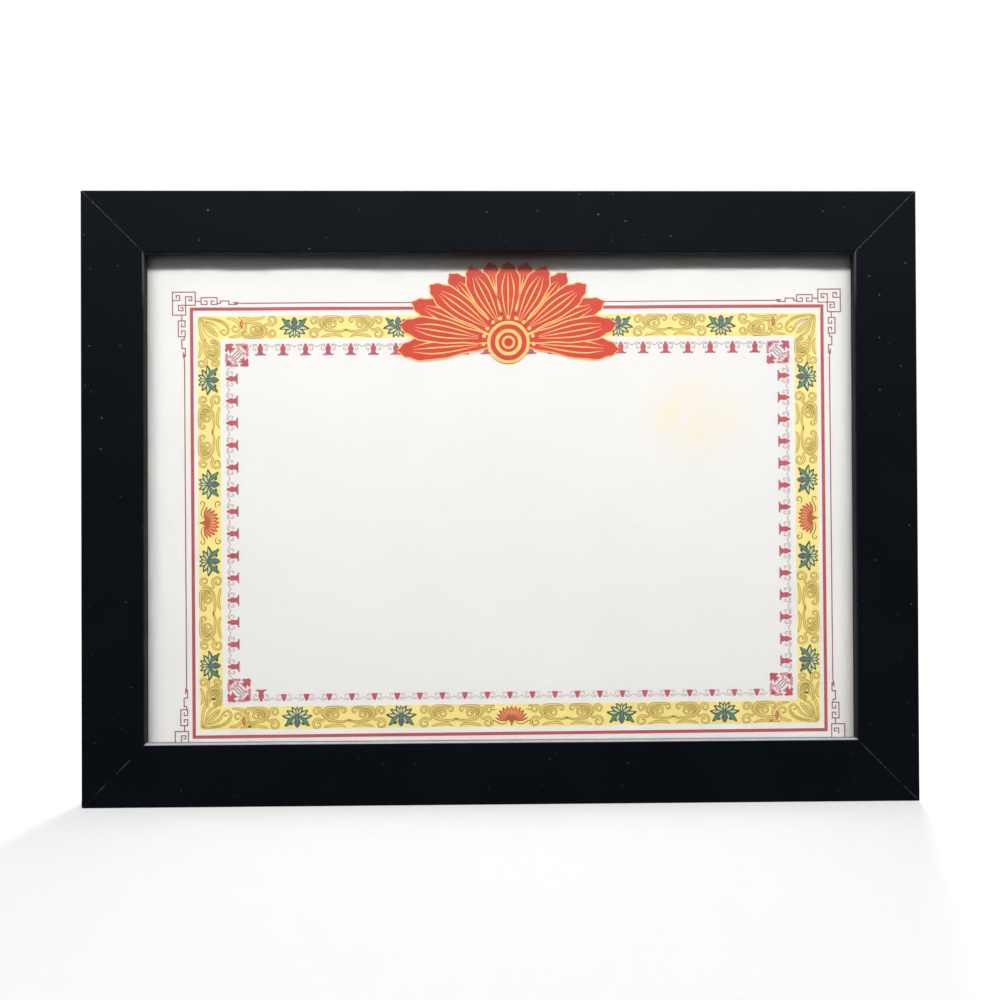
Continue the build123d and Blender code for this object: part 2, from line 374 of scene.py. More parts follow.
@dataclass(frozen=True)
class MouldingFilm(Finish):
    """Matt black film over a pale foamed core.

    The core shows at the mitres and the back. Its pale colour is also painted on the lip as light: a painted
    highlight on the bottom lip's upper face, a painted sheen on the inner faces that grows towards the glass,
    and painted light bounced from the paper on the top lip's underside. The side lips' front edges are paler
    near the top, and a painted shadow darkens the line where the lips meet the glass. The first sizes place
    it: the frame's centre height, its half-sizes outside and at the sight edge, its front, and the back of
    its lip.
    """

    centre: float
    outer: Span
    sight: Span
    front: float
    lip_back: float
    film: Colour = linear(12, 19, 26)
    core: Colour = linear(190, 190, 196)
    dust: Colour = linear(120, 126, 130)
    # colour of the painted shadow along the line where the lips meet the glass
    gap_shadow_colour: Colour = linear(84, 78, 84)
    front_depth: float = 0.4 * MM
    back_depth: float = 0.05 * MM
    mitre_width: float = 0.4 * MM
    mitre_ragged: Span = (0.4, 0.9)
    mitre_open: Span = (0.62, 0.8)
    mitre_open_top: float = 0.8
    mitre_show: Span = (0.14, 0.29)
    turn_over: float = 3.0 * MM
    sight_reach: float = 0.22 * MM
    sight_wrap: float = 0.4 * MM
    # depth of the painted shadow band on the lip next to the glass
    gap_shadow_width: float = 1.2 * MM
    gap_shadow_slack: float = 0.1 * MM
    gap_shadow_strength: float = 0.75
    # painted sheen on the lips' inner faces, from none at the front to its share at the glass
    lip_sheen: Span = (0.0, 0.15)
    # painted light bounced from the paper on the top lip's underside, paler towards the glass
    underside_bounce_light: Span = (0.05, 0.6)
    # the side lips' front edges grow paler over this reach below the top
    top_edge_reach: float = 25.0 * MM
    top_edge_depth: float = 1.6 * MM
    top_edge_show: float = 0.4
    dust_show: Span = (0.1, 0.6)
    gloss: Span = (0.50, 0.62)
    core_roughness: float = 0.2

    def open_mitre(self, surface: Surface, axes: Sockets, level: Socket, off_mitre: Socket) -> Socket:
        """Masks the hairline of core along each mitre, which gapes here and there and more at the top.

        Args:
            surface: The material under construction.
            axes: The sockets of the three coordinates.
            level: The height over the frame's centre.
            off_mitre: The distance from the mitre.

        Returns:
            The mask's socket.
        """
        ragged = surface.ranged(surface.grain(scale=900.0), *self.mitre_ragged)
        opened = surface.ranged(surface.grain(scale=130.0), *self.mitre_open)
        at_top = surface.ranged(level, -self.outer[1], self.outer[1], 0.0, self.mitre_open_top)
        gape = surface.product(ragged, surface.highest(opened, at_top))
        line = surface.below(off_mitre, surface.product(gape, self.mitre_width))
        on_front = surface.below(axes["Y"], self.front + self.front_depth)
        shown = surface.ranged(level, -self.outer[1], self.outer[1], *self.mitre_show)
        return surface.product(line, on_front, shown)

    def lip_sheen_and_edges(self, surface: Surface, axes: Sockets, side: Socket, level: Socket) -> Socket:
        """Masks the painted light on the lip and its paler edges: a painted sheen on its inner faces, paler
        front edges at its sides near the top, and painted light bounced from the paper on its underside.

        Args:
            surface: The material under construction.
            axes: The sockets of the three coordinates.
            side: The distance from the frame's middle.
            level: The height over the frame's centre.

        Returns:
            The mask's socket.
        """
        # Painted sheen on the lip's inner faces, paler towards the glass.
        painted_sheen = surface.ranged(axes["Y"], self.front, self.lip_back, *self.lip_sheen)
        # The side lips' front edges grow paler towards the top.
        at_side = surface.above(side, self.sight[0] - self.sight_reach)
        at_front = surface.below(axes["Y"], self.front + self.top_edge_depth)
        near_top = surface.ranged(level, self.sight[1] - self.top_edge_reach, self.sight[1], 0.0, self.top_edge_show)
        # The top lip's underside gets painted light bounced from the paper, paler towards the glass.
        overhead = surface.above(level, self.sight[1] - self.sight_reach)
        scuffed = surface.ranged(axes["Y"], self.front, self.lip_back, *self.underside_bounce_light)
        pale_top_edges = surface.product(at_side, at_front, near_top)
        return surface.highest(painted_sheen, pale_top_edges, surface.product(overhead, scuffed))

    def core_and_painted_light(self, surface: Surface, axes: Sockets) -> Socket:
        """Masks the places that take the pale core colour: where the film leaves the core exposed, and on the
        lip, where it stands for painted light and for paler edges.

        Args:
            surface: The material under construction.
            axes: The sockets of the three coordinates.

        Returns:
            The mask's socket.
        """
        side = surface.calc("ABSOLUTE", axes["X"])
        level = surface.calc("SUBTRACT", axes["Z"], self.centre)
        height = surface.calc("ABSOLUTE", level)
        from_side = surface.calc("SUBTRACT", self.outer[0], side)
        from_end = surface.calc("SUBTRACT", self.outer[1], height)
        off_mitre = surface.calc("ABSOLUTE", surface.calc("SUBTRACT", from_side, from_end))
        mitre = self.open_mitre(surface, axes, level, off_mitre)
        within_side = surface.below(side, self.sight[0] + self.sight_reach)
        within_end = surface.below(height, self.sight[1] + self.sight_reach)
        lip = surface.product(within_side, within_end)
        # The bottom lip's upper face takes the pale core colour as a painted highlight, for the light from
        # above that falls on it.
        low = surface.below(level, self.sight_reach - self.sight[1])
        painted_shelf_highlight = surface.product(lip, low, surface.above(axes["Y"], self.front + self.sight_wrap))
        past_film = surface.above(surface.calc("MINIMUM", from_side, from_end), self.turn_over)
        back = surface.product(surface.above(axes["Y"], -self.back_depth), past_film)
        # Painted sheen and bounced light on the lips, and their paler top edges, in the core colour.
        lip_light_and_edges = surface.product(lip, self.lip_sheen_and_edges(surface, axes, side, level))
        return surface.highest(mitre, lip_light_and_edges, painted_shelf_highlight, back)

    def dress(self, surface: Surface) -> None:
        """Lays the film with smudges and dust over the pale core colour, which also carries the painted light
        on the lip, and paints a shadow where the lip meets the glass.

        Args:
            surface: The material's tree.
        """
        axes = surface.axes(surface.where)
        pale_share = self.core_and_painted_light(surface, axes)
        # Painted shadow in a band along the lip where it meets the glass.
        by_pane = surface.above(axes["Y"], self.lip_back - self.gap_shadow_width)
        on_lip = surface.below(axes["Y"], self.lip_back + self.gap_shadow_slack)
        painted_gap_shadow = surface.product(by_pane, on_lip, self.gap_shadow_strength)
        film = surface.mottle(self.film, scale=40.0, strength=0.22)
        core = surface.mottle(self.core, scale=700.0, strength=0.12)
        specks = surface.effect(Effect.SPECKS, None, Scale=95.0, Share=0.4, Size=0.045)
        lint = surface.effect(Effect.SPECKS, surface.stretched(up=2.6), Scale=70.0, Share=0.14, Size=0.045)
        foot, head = self.centre - self.outer[1], self.centre + self.outer[1]
        settled = surface.ranged(axes["Z"], foot, head, *self.dust_show)
        dusty = surface.product(surface.highest(specks, lint), settled)
        coated = surface.mixed(dusty, film, self.dust)
        smudged = surface.ranged(surface.grain(scale=16.0), *surface.GRAIN_SPAN, *self.gloss)
        surface.set(Base_Color=surface.mixed(pale_share, coated, surface.mixed(painted_gap_shadow, core, self.gap_shadow_colour)))
        surface.set(Roughness=surface.calc("MULTIPLY_ADD", pale_share, self.core_roughness, smudged))
        surface.set(Specular_IOR_Level=0.08)
        surface.bump(surface.grain(scale=1700.0), depth=0.02 * MM, strength=0.35)


@dataclass(frozen=True)
class ClearGlass(Finish):
    """Clear float glass with the faintest smears, which lets lamp light straight through."""

    tint: Colour = linear(254, 254, 254)
    smears: Span = (0.75, 1.1)
    smear_roughness: float = 0.015

    def dress(self, surface: Surface) -> None:
        """Mixes the glass with plain transparency for the lamps' rays.

        Args:
            surface: The material's tree.
        """
        smear = surface.grain(scale=14.0, where=surface.stretched(up=0.4))
        surface.set(Base_Color=self.tint, Transmission_Weight=1.0, IOR=1.5)
        surface.set(Roughness=surface.ranged(smear, *self.smears, 0.0, self.smear_roughness))
        lamp_ray = surface.add("ShaderNodeLightPath").outputs["Is Shadow Ray"]
        clear = surface.add("ShaderNodeBsdfTransparent", {"Color": self.tint}).outputs[0]
        surface.shows(surface.blended(lamp_ray, surface.shader.outputs[0], clear))


@dataclass(frozen=True)
class PaperStock(Finish):
    """Smooth white paper with a trace of fibre and one faint yellowed patch."""

    patch: Point
    patch_size: Point = (27.0 * MM, 27.0 * MM, 22.0 * MM)
    patch_fade: Span = (1.0, 0.35)
    patch_blotches: Span = (0.4, 0.95)
    white: Colour = linear(239, 238, 235)
    yellowed: Colour = linear(243, 233, 211)
    gloss: Span = (0.66, 0.78)

    @staticmethod
    def fibre(surface: Surface, gloss: Span) -> None:
        """Gives a surface the paper's fibre, in its gloss and in its relief.

        Args:
            surface: The material's tree.
            gloss: The roughness at the grain's low and high places.
        """
        fibre = surface.grain(scale=900.0)
        surface.rough(fibre, gloss)
        surface.bump(fibre, depth=0.01 * MM, strength=0.3)

    def dress(self, surface: Surface) -> None:
        """Gives the paper its fibre, its slight cloudiness and its patch.

        Args:
            surface: The material's tree.
        """
        cloud = surface.mottle(self.white, scale=26.0, strength=0.012)
        away = surface.vector("SUBTRACT", surface.where, self.patch)[0]
        distance = surface.vector("LENGTH", surface.vector("DIVIDE", away, self.patch_size)[0])["Value"]
        speckled = surface.grain(scale=190.0, where=surface.stretched(up=0.6))
        blotch = surface.ranged(speckled, *self.patch_blotches)
        faded = surface.product(surface.ranged(distance, *self.patch_fade), blotch)
        surface.set(Base_Color=surface.mixed(faded, cloud, self.yellowed), Specular_IOR_Level=0.25)
        self.fibre(surface, self.gloss)


@dataclass(frozen=True)
class PrintInk(Finish):
    """Printing ink on that paper, a little uneven as it dried."""

    colour: Colour
    unevenness: float = 0.10
    gloss: Span = (0.5, 0.64)

    def dress(self, surface: Surface) -> None:
        """Gives the ink its uneven tone and the paper's fibre.

        Args:
            surface: The material's tree.
        """
        tone = surface.mottle(self.colour, scale=620.0, strength=self.unevenness)
        surface.set(Base_Color=tone, Specular_IOR_Level=0.3)
        PaperStock.fibre(surface, self.gloss)


@dataclass(frozen=True)
class KraftCard(Finish):
    """Brown corrugated card: smooth faces with long fibres and the ghost of the flutes."""

    brown: Colour = linear(190, 150, 104)
    flute_pitch: float = 6.5 * MM

    def dress(self, surface: Surface) -> None:
        """Gives the card its fibre and flutes.

        Args:
            surface: The material's tree.
        """
        tone = surface.mottle(self.brown, scale=260.0, strength=0.16, where=surface.stretched(along=0.3))
        turns = surface.product(surface.axes(surface.where)["X"], math.tau / self.flute_pitch)
        surface.set(Base_Color=tone, Roughness=0.82, Specular_IOR_Level=0.2)
        surface.bump(surface.calc("SINE", turns), depth=0.05 * MM, strength=0.5)


@dataclass(frozen=True)
class Hardboard(Finish):
    """Brown hardboard, its rough face printed by the screen that it was pressed on."""

    brown: Colour = linear(140, 99, 64)
    dark: Colour = linear(92, 60, 38)
    matting: Span = (0.5, 1.0)
    screen_pitch: float = 1.5 * MM
    screen_depth: float = 0.35
    gloss: Span = (0.55, 0.75)

    def dress(self, surface: Surface) -> None:
        """Gives the board its matted fibres and its screen pattern.

        Args:
            surface: The material's tree.
        """
        fibres = surface.grain(scale=950.0, where=surface.stretched(up=0.45))
        matted = surface.mixed(surface.ranged(fibres, *self.matting), self.brown, self.dark)
        axes = surface.axes(surface.where)
        wave = math.tau / self.screen_pitch
        warp, weft = [surface.calc("SINE", surface.product(axes[name], wave)) for name in ("X", "Z")]
        pressed = surface.calc("MULTIPLY_ADD", surface.product(warp, weft), self.screen_depth, fibres)
        surface.set(Base_Color=surface.mottle(matted, scale=22.0, strength=0.14), Specular_IOR_Level=0.3)
        surface.rough(fibres, self.gloss)
        surface.bump(pressed, depth=0.12 * MM, strength=0.6)


@dataclass(frozen=True)
class PlatedSteel(Finish):
    """Plated or bare steel sheet with rolling marks, dull patches and fine scuffs."""

    metal: Colour
    dull: Colour
    gloss: float
    patch_scale: float = 240.0
    dulled: tuple[float, ...] = (0.5, 0.95, 0.0, 0.75)
    scuffed: Span = (0.45, 1.0)
    scuff_roughness: float = 0.2

    def dress(self, surface: Surface) -> None:
        """Gives the metal its patches, marks and scuffs.

        Args:
            surface: The material's tree.
        """
        patches = surface.grain(self.patch_scale)
        tone = surface.mixed(surface.ranged(patches, *self.dulled), self.metal, self.dull)
        scuffs = surface.ranged(patches, *self.scuffed, self.gloss, self.gloss + self.scuff_roughness)
        surface.set(Base_Color=tone, Metallic=1.0, Roughness=scuffs)
        marks = surface.grain(scale=2600.0, where=surface.stretched(along=0.08))
        surface.bump(marks, depth=0.008 * MM, strength=0.4)


@dataclass(frozen=True)
class PadRubber(Finish):
    """Soft black rubber with a bloom of grey dust."""

    black: Colour = linear(34, 34, 35)
    bloom: Colour = linear(92, 90, 86)
    dusted: tuple[float, ...] = (0.6, 1.05, 0.0, 0.4)
    gloss: Span = (0.62, 0.85)

    def dress(self, surface: Surface) -> None:
        """Gives the rubber its bloom and its fine pores.

        Args:
            surface: The material's tree.
        """
        cloud = surface.grain(scale=300.0)
        dusted = surface.ranged(cloud, *self.dusted)
        surface.set(Base_Color=surface.mixed(dusted, self.black, self.bloom), Specular_IOR_Level=0.35)
        surface.rough(cloud, self.gloss)
        surface.bump(surface.grain(scale=2400.0), depth=0.02 * MM, strength=0.5)


class Ink(Enum):
    """The inks of the print."""

    RULE = PrintInk("ink_rule_red", linear(189, 88, 91))
    FRET = PrintInk("ink_fret_mauve", linear(158, 99, 98))
    BAND = PrintInk("ink_band_yellow", linear(251, 234, 148), 0.035)
    GOLD = PrintInk("ink_scroll_gold", linear(234, 207, 120), 0.07)
    OLIVE = PrintInk("ink_scroll_olive", linear(124, 98, 44))
    TEAL = PrintInk("ink_lotus_teal", linear(74, 90, 73))
    JADE = PrintInk("ink_lotus_jade", linear(98, 142, 119))
    INDIGO = PrintInk("ink_lotus_indigo", linear(98, 114, 128))
    PALE = PrintInk("ink_lotus_pale", linear(214, 216, 164), 0.05)
    CORAL = PrintInk("ink_flower_coral", linear(194, 102, 66))
    PEACH = PrintInk("ink_flower_peach", linear(238, 154, 114))
    CHAIN = PrintInk("ink_chain_red", linear(201, 90, 98))
    CURL = PrintInk("ink_chain_mauve", linear(156, 112, 124))
    THREAD = PrintInk("ink_chain_thread", linear(177, 142, 145))
    CREST = PrintInk("ink_crest_red", linear(209, 67, 52), 0.05)
    GILT = PrintInk("ink_crest_gilt", linear(245, 207, 122), 0.05)


@dataclass(frozen=True)
class Stroke:
    """One brush stroke of the print.

    Its points are (along, across, half-width) in millimetres, its level counts the layers of ink under it,
    and a closed stroke runs back to its start.
    """

    ink: Ink
    points: tuple[Point, ...]
    level: int = 1
    closed: bool = False

    def mirrored(self) -> "Stroke":
        """Returns the stroke turned over left for right."""
        return replace(self, points=tuple((-a, b, w) for a, b, w in self.points))

    def scaled(self, length: float) -> "Stroke":
        """Returns the stroke with its places along the motif scaled by that factor."""
        return replace(self, points=tuple((length * a, b, w) for a, b, w in self.points))

    def shifted(self, along: float) -> "Stroke":
        """Returns the stroke moved along its motif."""
        return replace(self, points=tuple((a + along, b, w) for a, b, w in self.points))

    def swapped(self) -> "Stroke":
        """Returns the stroke mirrored about its motif's diagonal."""
        return replace(self, points=tuple((b, a, w) for a, b, w in self.points))


def both_sides(strokes: Iterable[Stroke]) -> list[Stroke]:
    """Returns the strokes and their mirror images."""
    kept = list(strokes)
    return kept + [stroke.mirrored() for stroke in kept]


def both_ways(strokes: list[Stroke]) -> list[Stroke]:
    """Returns the strokes and their images about the motif's diagonal."""
    return strokes + [stroke.swapped() for stroke in strokes]


def cased(points: Sequence[Point], casing: Ink, core: Ink, margin: float, level: int = 1) -> list[Stroke]:
    """Draws a stroke with an outline: a wide one in the casing's ink, and the core on it.

    Args:
        points: The core's points.
        casing: The outline's ink.
        core: The filling's ink.
        margin: The outline's width in millimetres.
        level: The casing's layer.

    Returns:
        The two strokes.
    """
    wide = tuple((a, b, w + margin) for a, b, w in points)
    return [Stroke(casing, wide, level), Stroke(core, tuple(points), level + 1)]


SCROLL_OUTLINE = 0.15
SCROLL_TOP = 13
SCROLL_REACH = 15.2
SCROLL_CORNER_START = 4.6
VEIN = 0.075
LOTUS_OUTLINE = 0.3
LOTUS_BULB_OUTLINE = 0.24
CHAIN_OUTLINE = 0.16
CHAIN_THREAD = 0.15
CHAIN_THREAD_FOOT = 0.11
LACE_OUTLINE = 0.12
LACE_LOOP = 0.42
LACE_LOOP_LINE = 0.18
LACE_LENS = 0.22
LACE_LENS_BOW = 0.17
LEAF_SWELL = ((0.0, 0.30), (0.32, 0.92), (0.62, 1.0), (0.84, 0.55), (1.0, 0.05))
PETAL_MIDDLE = (0.16, 0.8)
RING_CORNERS = 8


def leaf(base: Spot, tip: Spot, width: float, bend: float = 0.0) -> tuple[Point, ...]:
    """Draws a leaf that swells from its base and ends in a point.

    Args:
        base: Its foot, in millimetres.
        tip: Its point, in millimetres.
        width: Its greatest half-width in millimetres.
        bend: How far its middle bows to the left of the line from base to tip, as a share of its length.

    Returns:
        The points of the stroke.
    """
    run, rise = tip[0] - base[0], tip[1] - base[1]
    points = []
    for share, swell in LEAF_SWELL:
        bow = 4 * bend * share * (1 - share)
        points.append((base[0] + share * run - bow * rise, base[1] + share * rise + bow * run, swell * width))
    return tuple(points)


def petal(
    base: Spot,
    tip: Spot,
    width: float,
    inks: tuple[Ink, Ink],
    bend: float = 0.0,
    core: float = 0.5,
    level: int = 1,
) -> list[Stroke]:
    """Draws a petal with a broad outline and a paler middle.

    Args:
        base: Its foot, in millimetres.
        tip: Its point, in millimetres.
        width: Its greatest half-width in millimetres.
        inks: The outline's ink and the middle's.
        bend: How far it bows, as a share of its length.
        core: The middle's width as a share of the petal's.
        level: The outline's layer.

    Returns:
        The two strokes.
    """
    run, rise = tip[0] - base[0], tip[1] - base[1]
    inner_base, inner_tip = [(base[0] + share * run, base[1] + share * rise) for share in PETAL_MIDDLE]
    middle = leaf(inner_base, inner_tip, core * width, bend)
    return [Stroke(inks[0], leaf(base, tip, width, bend), level), Stroke(inks[1], middle, level + 1)]


def ring(ink: Ink, radius: float, width: float, level: int, centre: Spot = (0.0, 0.0)) -> Stroke:
    """Draws a closed round stroke.

    Args:
        ink: Its ink.
        radius: The radius of its middle line, in millimetres.
        width: Its half-width in millimetres.
        level: Its layer.
        centre: Its centre, in millimetres.

    Returns:
        The stroke.
    """
    turns = [math.tau * k / RING_CORNERS for k in range(RING_CORNERS)]
    points = [(centre[0] + radius * math.cos(t), centre[1] + radius * math.sin(t), width) for t in turns]
    return Stroke(ink, tuple(points), level, closed=True)


@dataclass(frozen=True)
class Place:
    """Where a motif goes on the print.

    It has a centre in millimetres, a turn in degrees, and a mirror of -1 to turn it over.
    """

    u: float
    v: float
    turn: float = 0.0
    mirror: int = 1

    def point(self, along: float, across: float) -> Spot:
        """Finds where a point of the motif lies on the print.

        Args:
            along: Its place along the motif, in millimetres.
            across: Its place across the motif, in millimetres.

        Returns:
            The point in the print's axes.
        """
        c, s = math.cos(math.radians(self.turn)), math.sin(math.radians(self.turn))
        along *= self.mirror
        return self.u + c * along - s * across, self.v + s * along + c * across

    def put(self, strokes: Iterable[Stroke]) -> list[Stroke]:
        """Returns the motif's strokes in the print's axes."""
        return [replace(s, points=tuple((*self.point(a, b), w) for a, b, w in s.points)) for s in strokes]


def corner_places(reach: Spot) -> list[Place]:
    """Finds the four corners of a frame on the print.

    Args:
        reach: Half the frame's width and height in millimetres.

    Returns:
        The corners' places, each with its axes running inwards.
    """
    places = []
    for hand in (-1, 1):
        for level in (-1, 1):
            turn = 180.0 if level > 0 else 0.0
            places.append(Place(hand * reach[0], level * reach[1], turn, hand * level))
    return places


def repeated(motif: Sequence[Stroke], places: Iterable[Place]) -> list[Stroke]:
    """Returns a motif's strokes at each of those places."""
    return [stroke for place in places for stroke in place.put(motif)]


def lotus() -> list[Stroke]:
    """Draws the lotus: a bulb between two curls, over a fan of petals.

    Returns:
        The strokes.
    """
    inks = (Ink.TEAL, Ink.PALE)
    half = petal((0.2, -0.3), (6.4, -0.9), 0.98, inks, bend=0.06, level=5)
    half += petal((0.1, -0.5), (4.5, -3.1), 1.0, inks, bend=0.03, level=3)
    half += petal((0.0, -0.7), (2.2, -4.5), 0.92, inks)
    curl = (
        (5.1, 3.5, 0.04), (4.2, 2.8, 0.36), (3.3, 1.7, 0.7), (2.3, 0.5, 0.5), (1.1, -0.2, 0.24),
        (0.3, -0.6, 0.16)
    )
    eye = ((3.0, 2.5, 0.42), (2.2, 2.6, 0.42), (1.8, 1.9, 0.14))
    half += [Stroke(Ink.TEAL, eye, 7)] + cased(curl, Ink.TEAL, Ink.JADE, LOTUS_OUTLINE, 7)
    middle = petal((0.0, -0.7), (0.0, -4.6), 0.7, inks, level=3)
    bulb = ((0.0, -1.0, 0.4), (0.0, 0.4, 0.7), (0.0, 2.0, 1.2), (0.0, 3.2, 0.7), (0.0, 4.1, 0.06))
    heart = ((0.0, -0.9, 0.25), (0.0, 0.2, 0.5), (0.0, 1.3, 0.2))
    middle += cased(bulb, Ink.TEAL, Ink.INDIGO, LOTUS_BULB_OUTLINE, 9)
    return both_sides(half) + middle + [Stroke(Ink.JADE, heart, 11)]


def flower() -> list[Stroke]:
    """Draws the red flower on its stem, with gold tendrils at both sides.

    Returns:
        The strokes.
    """
    inks = (Ink.CORAL, Ink.PEACH)
    half = petal((0.7, -1.7), (6.9, -0.9), 0.66, inks, -0.1)
    half += petal((0.6, -1.4), (6.2, 0.7), 0.8, inks, -0.1, 0.54, 3)
    half += petal((0.5, -1.2), (5.2, 2.2), 0.92, inks, -0.08, 0.58, 5)
    half += petal((0.4, -1.0), (3.7, 3.3), 0.92, inks, -0.06, 0.6, 7)
    half += petal((0.2, -0.9), (1.9, 3.8), 0.88, inks, -0.03, 0.6, 9)
    sepal = leaf((0.6, -2.0), (4.6, -2.2), 0.5, 0.1)
    upper = (
        (6.0, 2.6, 0.1), (7.4, 2.2, 0.17), (8.6, 2.9, 0.18), (8.3, 4.0, 0.18), (7.2, 3.9, 0.16),
        (7.4, 3.1, 0.1)
    )
    lower = (
        (1.4, -2.6, 0.1), (3.4, -3.6, 0.18), (5.6, -3.1, 0.2), (7.4, -2.2, 0.18), (8.7, -2.7, 0.17),
        (8.3, -3.8, 0.16), (7.3, -3.4, 0.1)
    )
    half += [Stroke(Ink.CORAL, sepal), Stroke(Ink.OLIVE, upper), Stroke(Ink.OLIVE, lower)]
    stem = ((0.0, -4.3, 0.2), (0.0, -3.2, 0.5), (0.0, -2.0, 1.1), (0.0, -0.6, 0.4))
    middle = petal((0.0, -0.8), (0.0, 4.0), 0.86, inks, 0.0, 0.6, 11)
    return both_sides(half) + middle + [Stroke(Ink.CORAL, stem, 13)]


def layered(leaves: Iterable[Sequence[Point]]) -> list[Stroke]:
    """Draws gold leaves with dark outlines, each one over the last.

    Args:
        leaves: The leaves' points, lowest first.

    Returns:
        Their strokes.
    """
    strokes = []
    for k, points in enumerate(leaves):
        strokes += cased(points, Ink.OLIVE, Ink.GOLD, SCROLL_OUTLINE, 1 + 2 * k)
    return strokes


def scroll_half() -> list[Stroke]:
    """Draws one half of a scroll panel, from its middle outwards.

    Returns:
        The strokes: a leafy scroll that opens to the middle, a long leaf below it and two spirals at its end.
    """
    ground = ((2.6, 3.4, 0.5), (6.0, 2.6, 1.3), (8.8, 1.4, 1.7), (8.4, -0.8, 1.0), (4.6, -1.8, 0.4))
    scroll = (
        (0.0, -1.2, 0.22), (2.6, -1.9, 0.3), (6.0, -1.5, 0.42), (9.2, 0.0, 0.5), (10.2, 2.2, 0.5),
        (9.0, 3.7, 0.46), (6.4, 4.1, 0.4), (3.6, 4.1, 0.32), (1.8, 3.6, 0.26), (1.4, 2.5, 0.2),
        (2.3, 1.9, 0.14), (2.9, 2.5, 0.06)
    )
    tongue = (
        (9.0, 0.6, 0.2), (7.8, 2.3, 0.4), (5.9, 2.7, 0.4), (4.5, 1.6, 0.3), (4.7, 0.2, 0.24),
        (6.0, -0.1, 0.18), (6.5, 0.9, 0.12), (5.8, 1.4, 0.05)
    )
    lower = ((1.5, -4.1, 0.06), (3.2, -3.4, 0.36), (5.9, -3.3, 0.42), (8.6, -3.7, 0.36), (10.3, -4.2, 0.06))
    rising = (
        (9.9, -0.2, 0.18), (10.9, 1.2, 0.4), (11.7, 3.3, 0.42), (13.0, 3.9, 0.36), (14.3, 3.1, 0.3),
        (14.1, 1.7, 0.22), (12.9, 1.4, 0.17), (12.4, 2.3, 0.12), (13.0, 2.8, 0.05)
    )
    falling = (
        (9.9, -0.7, 0.18), (11.2, -1.3, 0.4), (13.0, -0.9, 0.42), (14.6, -2.1, 0.38), (14.4, -3.8, 0.3),
        (12.9, -4.2, 0.24), (11.8, -3.2, 0.18), (12.5, -2.2, 0.13), (13.3, -2.6, 0.05)
    )
    strokes = [Stroke(Ink.GOLD, ground)] + layered((lower, tongue, rising, falling, scroll))
    for k in range(3):
        barb = ((8.9 - k, -0.3 - 0.2 * k, VEIN), (9.4 - 1.1 * k, 1.2, VEIN), (8.4 - 1.3 * k, 3.0, VEIN))
        strokes.append(Stroke(Ink.OLIVE, barb, SCROLL_TOP))
    return strokes


def scroll_panel() -> list[Stroke]:
    """Draws a whole scroll panel, with a small red link at its middle."""
    link = ((-1.1, -1.4, 0.05), (0.0, -1.2, 0.3), (1.1, -1.4, 0.05))
    return both_sides(scroll_half()) + [Stroke(Ink.CORAL, link, SCROLL_TOP)]


def scroll_corner(arms: Spot) -> list[Stroke]:
    """Draws the scrolls that turn a corner of the band.

    Args:
        arms: How far the two arms reach from the corner of the band's middle line, in millimetres.

    Returns:
        The strokes, with the outer corner at the lower left.
    """
    diagonal = ((-3.8, -3.8, 0.15), (-1.8, -1.7, 0.75), (0.9, 1.1, 1.05), (2.6, 2.7, 0.7), (3.7, 3.8, 0.1))
    edge = (
        (-3.2, -4.0, 0.2), (0.2, -3.6, 0.36), (3.8, -2.9, 0.5), (6.6, -1.4, 0.52), (8.0, 0.7, 0.4),
        (7.4, 2.7, 0.3), (5.8, 2.9, 0.22), (5.2, 1.7, 0.16), (6.1, 1.0, 0.1), (6.7, 1.6, 0.05)
    )
    inner = ((-1.2, -2.4, 0.1), (1.5, -1.6, 0.36), (3.9, 0.2, 0.4), (4.6, 2.2, 0.1))
    spray = (
        (7.4, -3.6, 0.1), (9.4, -3.4, 0.42), (11.6, -2.4, 0.52), (12.8, -0.4, 0.45), (12.1, 1.6, 0.34),
        (10.4, 1.8, 0.25), (9.8, 0.4, 0.18), (10.8, -0.4, 0.12), (11.4, 0.3, 0.05)
    )
    blade = ((8.4, 4.0, 0.1), (10.8, 3.8, 0.4), (13.2, 2.9, 0.5), (14.9, 1.0, 0.42), (15.4, -1.6, 0.2))
    bract = ((11.8, -4.0, 0.1), (13.6, -3.5, 0.4), (15.4, -3.4, 0.4), (17.0, -3.9, 0.1))
    strokes = both_ways(layered((inner, edge))) + layered((bract, blade, spray))
    strokes += cased(diagonal, Ink.OLIVE, Ink.GOLD, SCROLL_OUTLINE, 7)
    for veined in (diagonal[:4], edge[1:5]):
        strokes.append(Stroke(Ink.OLIVE, tuple((a, b, VEIN) for a, b, _ in veined), SCROLL_TOP))
    down_scale = (arms[1] - SCROLL_CORNER_START) / SCROLL_REACH
    along = [stroke.shifted(arms[0] - SCROLL_REACH) for stroke in scroll_half()]
    down = [stroke.scaled(down_scale).shifted(SCROLL_CORNER_START).swapped() for stroke in scroll_half()]
    flame = petal((13.7, -3.0), (13.9, 0.8), 0.75, (Ink.CORAL, Ink.PEACH), 0.1, 0.4, SCROLL_TOP)
    return strokes + along + down + flame


